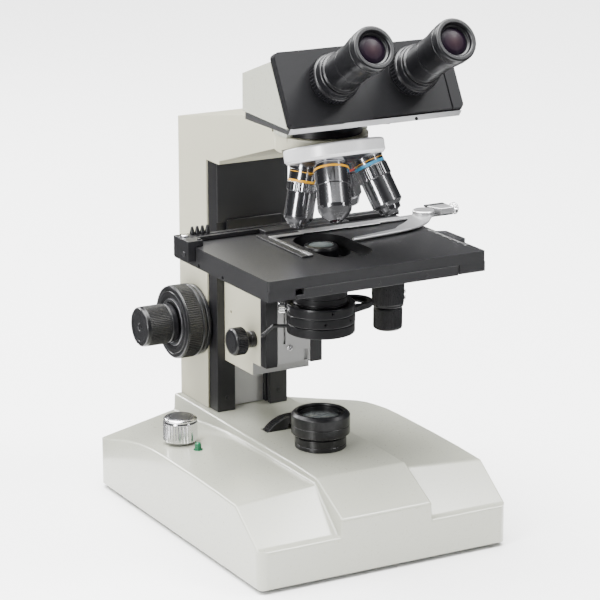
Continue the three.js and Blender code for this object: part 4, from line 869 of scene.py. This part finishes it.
def build_head():
    half = HEAD_HALF_WIDTH
    outline = [face_point(1, -3.6), face_point(FACE_HEIGHT - 4.5, -3.6), (HEAD_BACK, 360.6),
        (HEAD_BACK, 333.6)]
    rear = to_object("tool_rear", rod(35, NECK_BOTTOM, 342, 128, 0), AXIS)
    combine(rear, "DIFFERENCE", block((-40, 40), (-90, HEAD_BACK + 2.4), (300, 330)))
    piece("head_housing_shell", side_prism(outline, -half, half), ORIGIN, WHITE, "head_housing",
        joins=[rear, block((-30, 30), (-54, -16.5), (333.6, 356))],
        cuts=[(rod(30.4, 300, NECK_TOP, 128, 0), AXIS)], bevel=(1.3, 3, 22), smooth=30)

    floor = [(HEAD_BACK - 2, NECK_TOP), (HEAD_BACK - 2, 333.2), face_point(0, -FRAME_DEPTH), face_point(0, 0),
        (FACE_BOTTOM[0] + 3.5, NECK_TOP)]
    extra("head_chassis_strip", side_prism(floor, 1 - half, half - 1), ORIGIN, STEEL, "head", "black_paint",
        cuts=[(rod(11, 300, 340), AXIS)], bevel=(0.4,))
    neck = revolve([(11, NECK_BOTTOM), (30, NECK_BOTTOM), (30, 314.2), (29.6, 314.5), (29.6, 315),
        (30, 315.3), (30, 327.5), (11, 327.5), (11, NECK_BOTTOM)], 128, 0.3)
    lock = AXIS @ turn("Z", -24) @ at(0, 0, 318.7) @ ALONG_X
    piece("head_chassis_neck", neck, AXIS, RING_BLACK, "head_chassis", cuts=[(rod(2.5, 14, 44), lock)])
    outline = rectangle(-half, half, -TUBE_HEIGHT, FACE_HEIGHT - TUBE_HEIGHT, FACE_CORNER)
    extra("head_face_frame", prism(outline, -FRAME_DEPTH, 0), tube_frame(0), FACE_BLACK, "head",
        "black_paint", bevel=(0.4,))
    lock_screw = revolve([(0, 16), (2.4, 16), (2.4, 38), (4, 38.6), (5.2, 40.2), (5.2, 50), (4.4, 51),
        (0, 51)], ribs=(24, 0.4, 40.4, 49.8))
    piece("head_lock_knob", lock_screw, lock, CHROME, "head_lock_screw")

    top = FACE_HEIGHT - 0.6 - TUBE_HEIGHT
    x = TUBE_HALF_SPACING
    left, right = tube_frame(-1), tube_frame(1)
    bottom = -0.6 - TUBE_HEIGHT
    piece("tube_slide_left_plate", prism(rectangle(x - half, x - 25, bottom, top, FACE_CORNER), 0.3, 4.3),
        left, FACE_BLACK, "tube_slide_left", joins=[(block((x - 33, x - 6.2), (bottom, top), (2.5, 4.3)),
        left), (rod(16.2, 2.6, 6, 96, 0), left)], cuts=[(rod(8, -5, 10), left)], bevel=(1.2, 4))
    piece("tube_slide_right_plate", prism(rectangle(-14 - x, half - x, -TUBE_HEIGHT + 1, top, FACE_CORNER),
        0.3, 2.2), right, FACE_BLACK, "tube_slide_right", joins=[(rod(16.2, 1, 6, 96, 0), right)],
        bevel=(0.4,), cuts=[(rod(8, -5, 10), right), (block((60.6 - x, 61.7 - x), (-40, 40), (1.2, 4)),
        right)])
    # painted shadow: a thin flat-black strip along the step between the two slide plates, where the seam lies
    # in shade
    extra("tube_slide_seam_shadow", block((-6.9 - x, -4.3 - x), (-TUBE_HEIGHT + 1.2, top - 0.4), (2.0, 2.4)), right,
        BLACK_HOLE, "right_tube", "black_paint")
    screw("head_strip_screw", at(31, *face_point(-2.6, -0.6)) @ turn("X", 90 - HEAD_TILT), 1.3, 0.6,
        "head", "black_paint", BLACK_HOLE)

    for side, name in SIDES:
        tube = tube_frame(side)
        diopter = revolve([(14.3, 6.3), (16.8, 6.3), (17.9, 7.4), (17.9, 13.8), (17.2, 15.0), (16.5, 15.6),
            (16.3, 20.8), (15.6, 21.6), (14.3, 21.6), (14.3, 6.3)], ribs=(44, 0.65, 7.2, 14))
        piece(f"diopter_ring_{name}_grip", diopter, tube, PLASTIC, f"diopter_ring_{name}", smooth=50)
        dots = merged(*[(rod(0.35, -0.1, 0.12, 10, 0), turn("Z", a) @ at(17.0, 0, 14.9)
            @ turn("Y", 50)) for a in range(-150, 0, 14)])
        extra(f"diopter_ring_{name}_dots", dots, tube, MARKS, f"{name}_diopter", "black_plastic")
        barrel = revolve([(0, 6.6), (13.9, 6.6), (13.9, 21.9), (15.1, 22.1), (15.1, 22.9), (14.7, 23.4),
            (13.9, 24.2), (13.9, 27), (13.9, 40), (13.7, 40.3), (13.7, 41.1), (13.9, 41.4), (14.1, 50),
            (14.7, 54), (15.3, 58.6), (15.6, 63), (15.9, 65), (15.9, 66.2), (15.6, 66.5), (15.6, 67.1),
            (15.9, 67.4), (15.9, 71.6), (15.5, 72.8), (14.8, 73.4), (12.6, 73.4), (11.9, 72.6), (11.5, 70.6),
            (10.3, 69.9), (9.9, 68.7), (0, 68.7)], 128, 0.25)
        piece(f"eyepiece_{name}_barrel", barrel, tube, RING_BLACK, f"eyepiece_{name}")
        lens = revolve([(0, 67), (9.8, 67), (9.8, 68.9), (7, 70.0), (3.5, 70.6), (0, 70.8)], 96, 0.1)
        extra(f"eyepiece_{name}_lens", lens, tube, EYE_LENS, f"{name}_tube", "glass")


# ------------------------ floor, light and camera
FLOOR_HALF = 14.0
CARD_INNER, CARD_OUTER, CARD_SHADE = 260, 13800, 0.02
HORIZON, ZENITH, WORLD_STRENGTH = (0.45, (0.06, 0.06, 0.065, 1)), (0.95, (1, 1, 1, 1)), 0.9
SUN_STRENGTH, SUN_SPREAD, SUN_TILT = 11, math.radians(70), (math.radians(-8), math.radians(-10), 0)
CAMERA_AT = (-926.8, -1669.7, 705.4)
CAMERA_AZIMUTH, CAMERA_ELEVATION = -29.1, 15.6
LENS, SENSOR = 157.32, 36.0


def build_floor():
    mesh = bpy.data.meshes.new("studio_floor")
    mesh.from_pydata([(-FLOOR_HALF, -FLOOR_HALF, 0), (FLOOR_HALF, -FLOOR_HALF, 0),
        (FLOOR_HALF, FLOOR_HALF, 0), (-FLOOR_HALF, FLOOR_HALF, 0)], [], [(0, 1, 2, 3)])
    floor = new_object("studio_floor", mesh)
    n = plain_look("studio_floor", 0.93, 0.6)
    n.surface(Specular_IOR_Level=0.2)
    mesh.materials.append(n.material)


def area_light(name, position, width, height, power, target=(0, 0, 0.2)):
    data = bpy.data.lights.new(name, "AREA")
    data.shape = "RECTANGLE"
    data.size, data.size_y, data.energy = width, height, power
    light = new_object(name, data)
    light.location = position
    light.rotation_euler = (Vector(target) - Vector(position)).to_track_quat("-Z", "Y").to_euler()


def reflection_card(name, bm, shade):
    """A studio card that only mirror-like surfaces see, so that chrome gets dark and light bands."""
    card = to_object(name, bm, at(-SHIFT.x, -SHIFT.y))
    card.data.materials.append(plain_look(name, shade, 0.9).material)
    card.visible_camera = False
    card.visible_diffuse = False
    card.visible_transmission = False
    card.visible_shadow = False


def build_light():
    world = bpy.data.worlds.new("studio")
    bpy.context.scene.world = world
    world.use_nodes = True
    nodes, links = world.node_tree.nodes, world.node_tree.links
    direction, split, ramp = (nodes.new("ShaderNode" + kind) for kind in ("TexCoord", "SeparateXYZ",
        "ValToRGB"))
    links.new(direction.outputs["Generated"], split.inputs[0])
    links.new(split.outputs["Z"], ramp.inputs[0])
    for element, (position, color) in zip(ramp.color_ramp.elements, (HORIZON, ZENITH)):
        element.position, element.color = position, color
    links.new(ramp.outputs["Color"], nodes["Background"].inputs["Color"])
    nodes["Background"].inputs["Strength"].default_value = WORLD_STRENGTH
    area_light("top_softbox", (-0.3, 0.1, 2.1), 1.6, 1.6, 70, (0, 0, 0))
    area_light("left_softbox", (-1.04, -0.49, 0.68), 0.2, 1.3, 18)
    area_light("right_softbox", (0.62, -0.99, 0.8), 0.1, 1.4, 3)
    area_light("front_edge_softbox", (1.1, -0.7, 2.0), 0.7, 0.7, 60)
    area_light("back_edge_softbox", (-0.5, 1.75, 1.05), 1.0, 0.35, 34)
    sky = bpy.data.lights.new("sky_panel", "SUN")
    sky.energy, sky.angle = SUN_STRENGTH, SUN_SPREAD
    panel = new_object("sky_panel", sky)
    panel.rotation_euler = SUN_TILT
    reflection_card("floor_card", ring(CARD_INNER, CARD_OUTER, 0.5, 1.5, 96, 0), CARD_SHADE)


def build_camera():
    data = bpy.data.cameras.new("camera")
    data.sensor_width = SENSOR
    data.lens = LENS
    data.clip_end = 60
    camera = new_object("camera", data)
    camera.location = (Vector(CAMERA_AT) + SHIFT) * MM
    camera.rotation_euler = (math.radians(90 - CAMERA_ELEVATION), 0, math.radians(CAMERA_AZIMUTH))
    bpy.context.scene.camera = camera


build_base()
build_controls()
build_limb()
build_focus()
build_carriage()
build_stage()
build_condenser()
build_nosepiece()
build_head()
build_floor()
build_light()
build_camera()
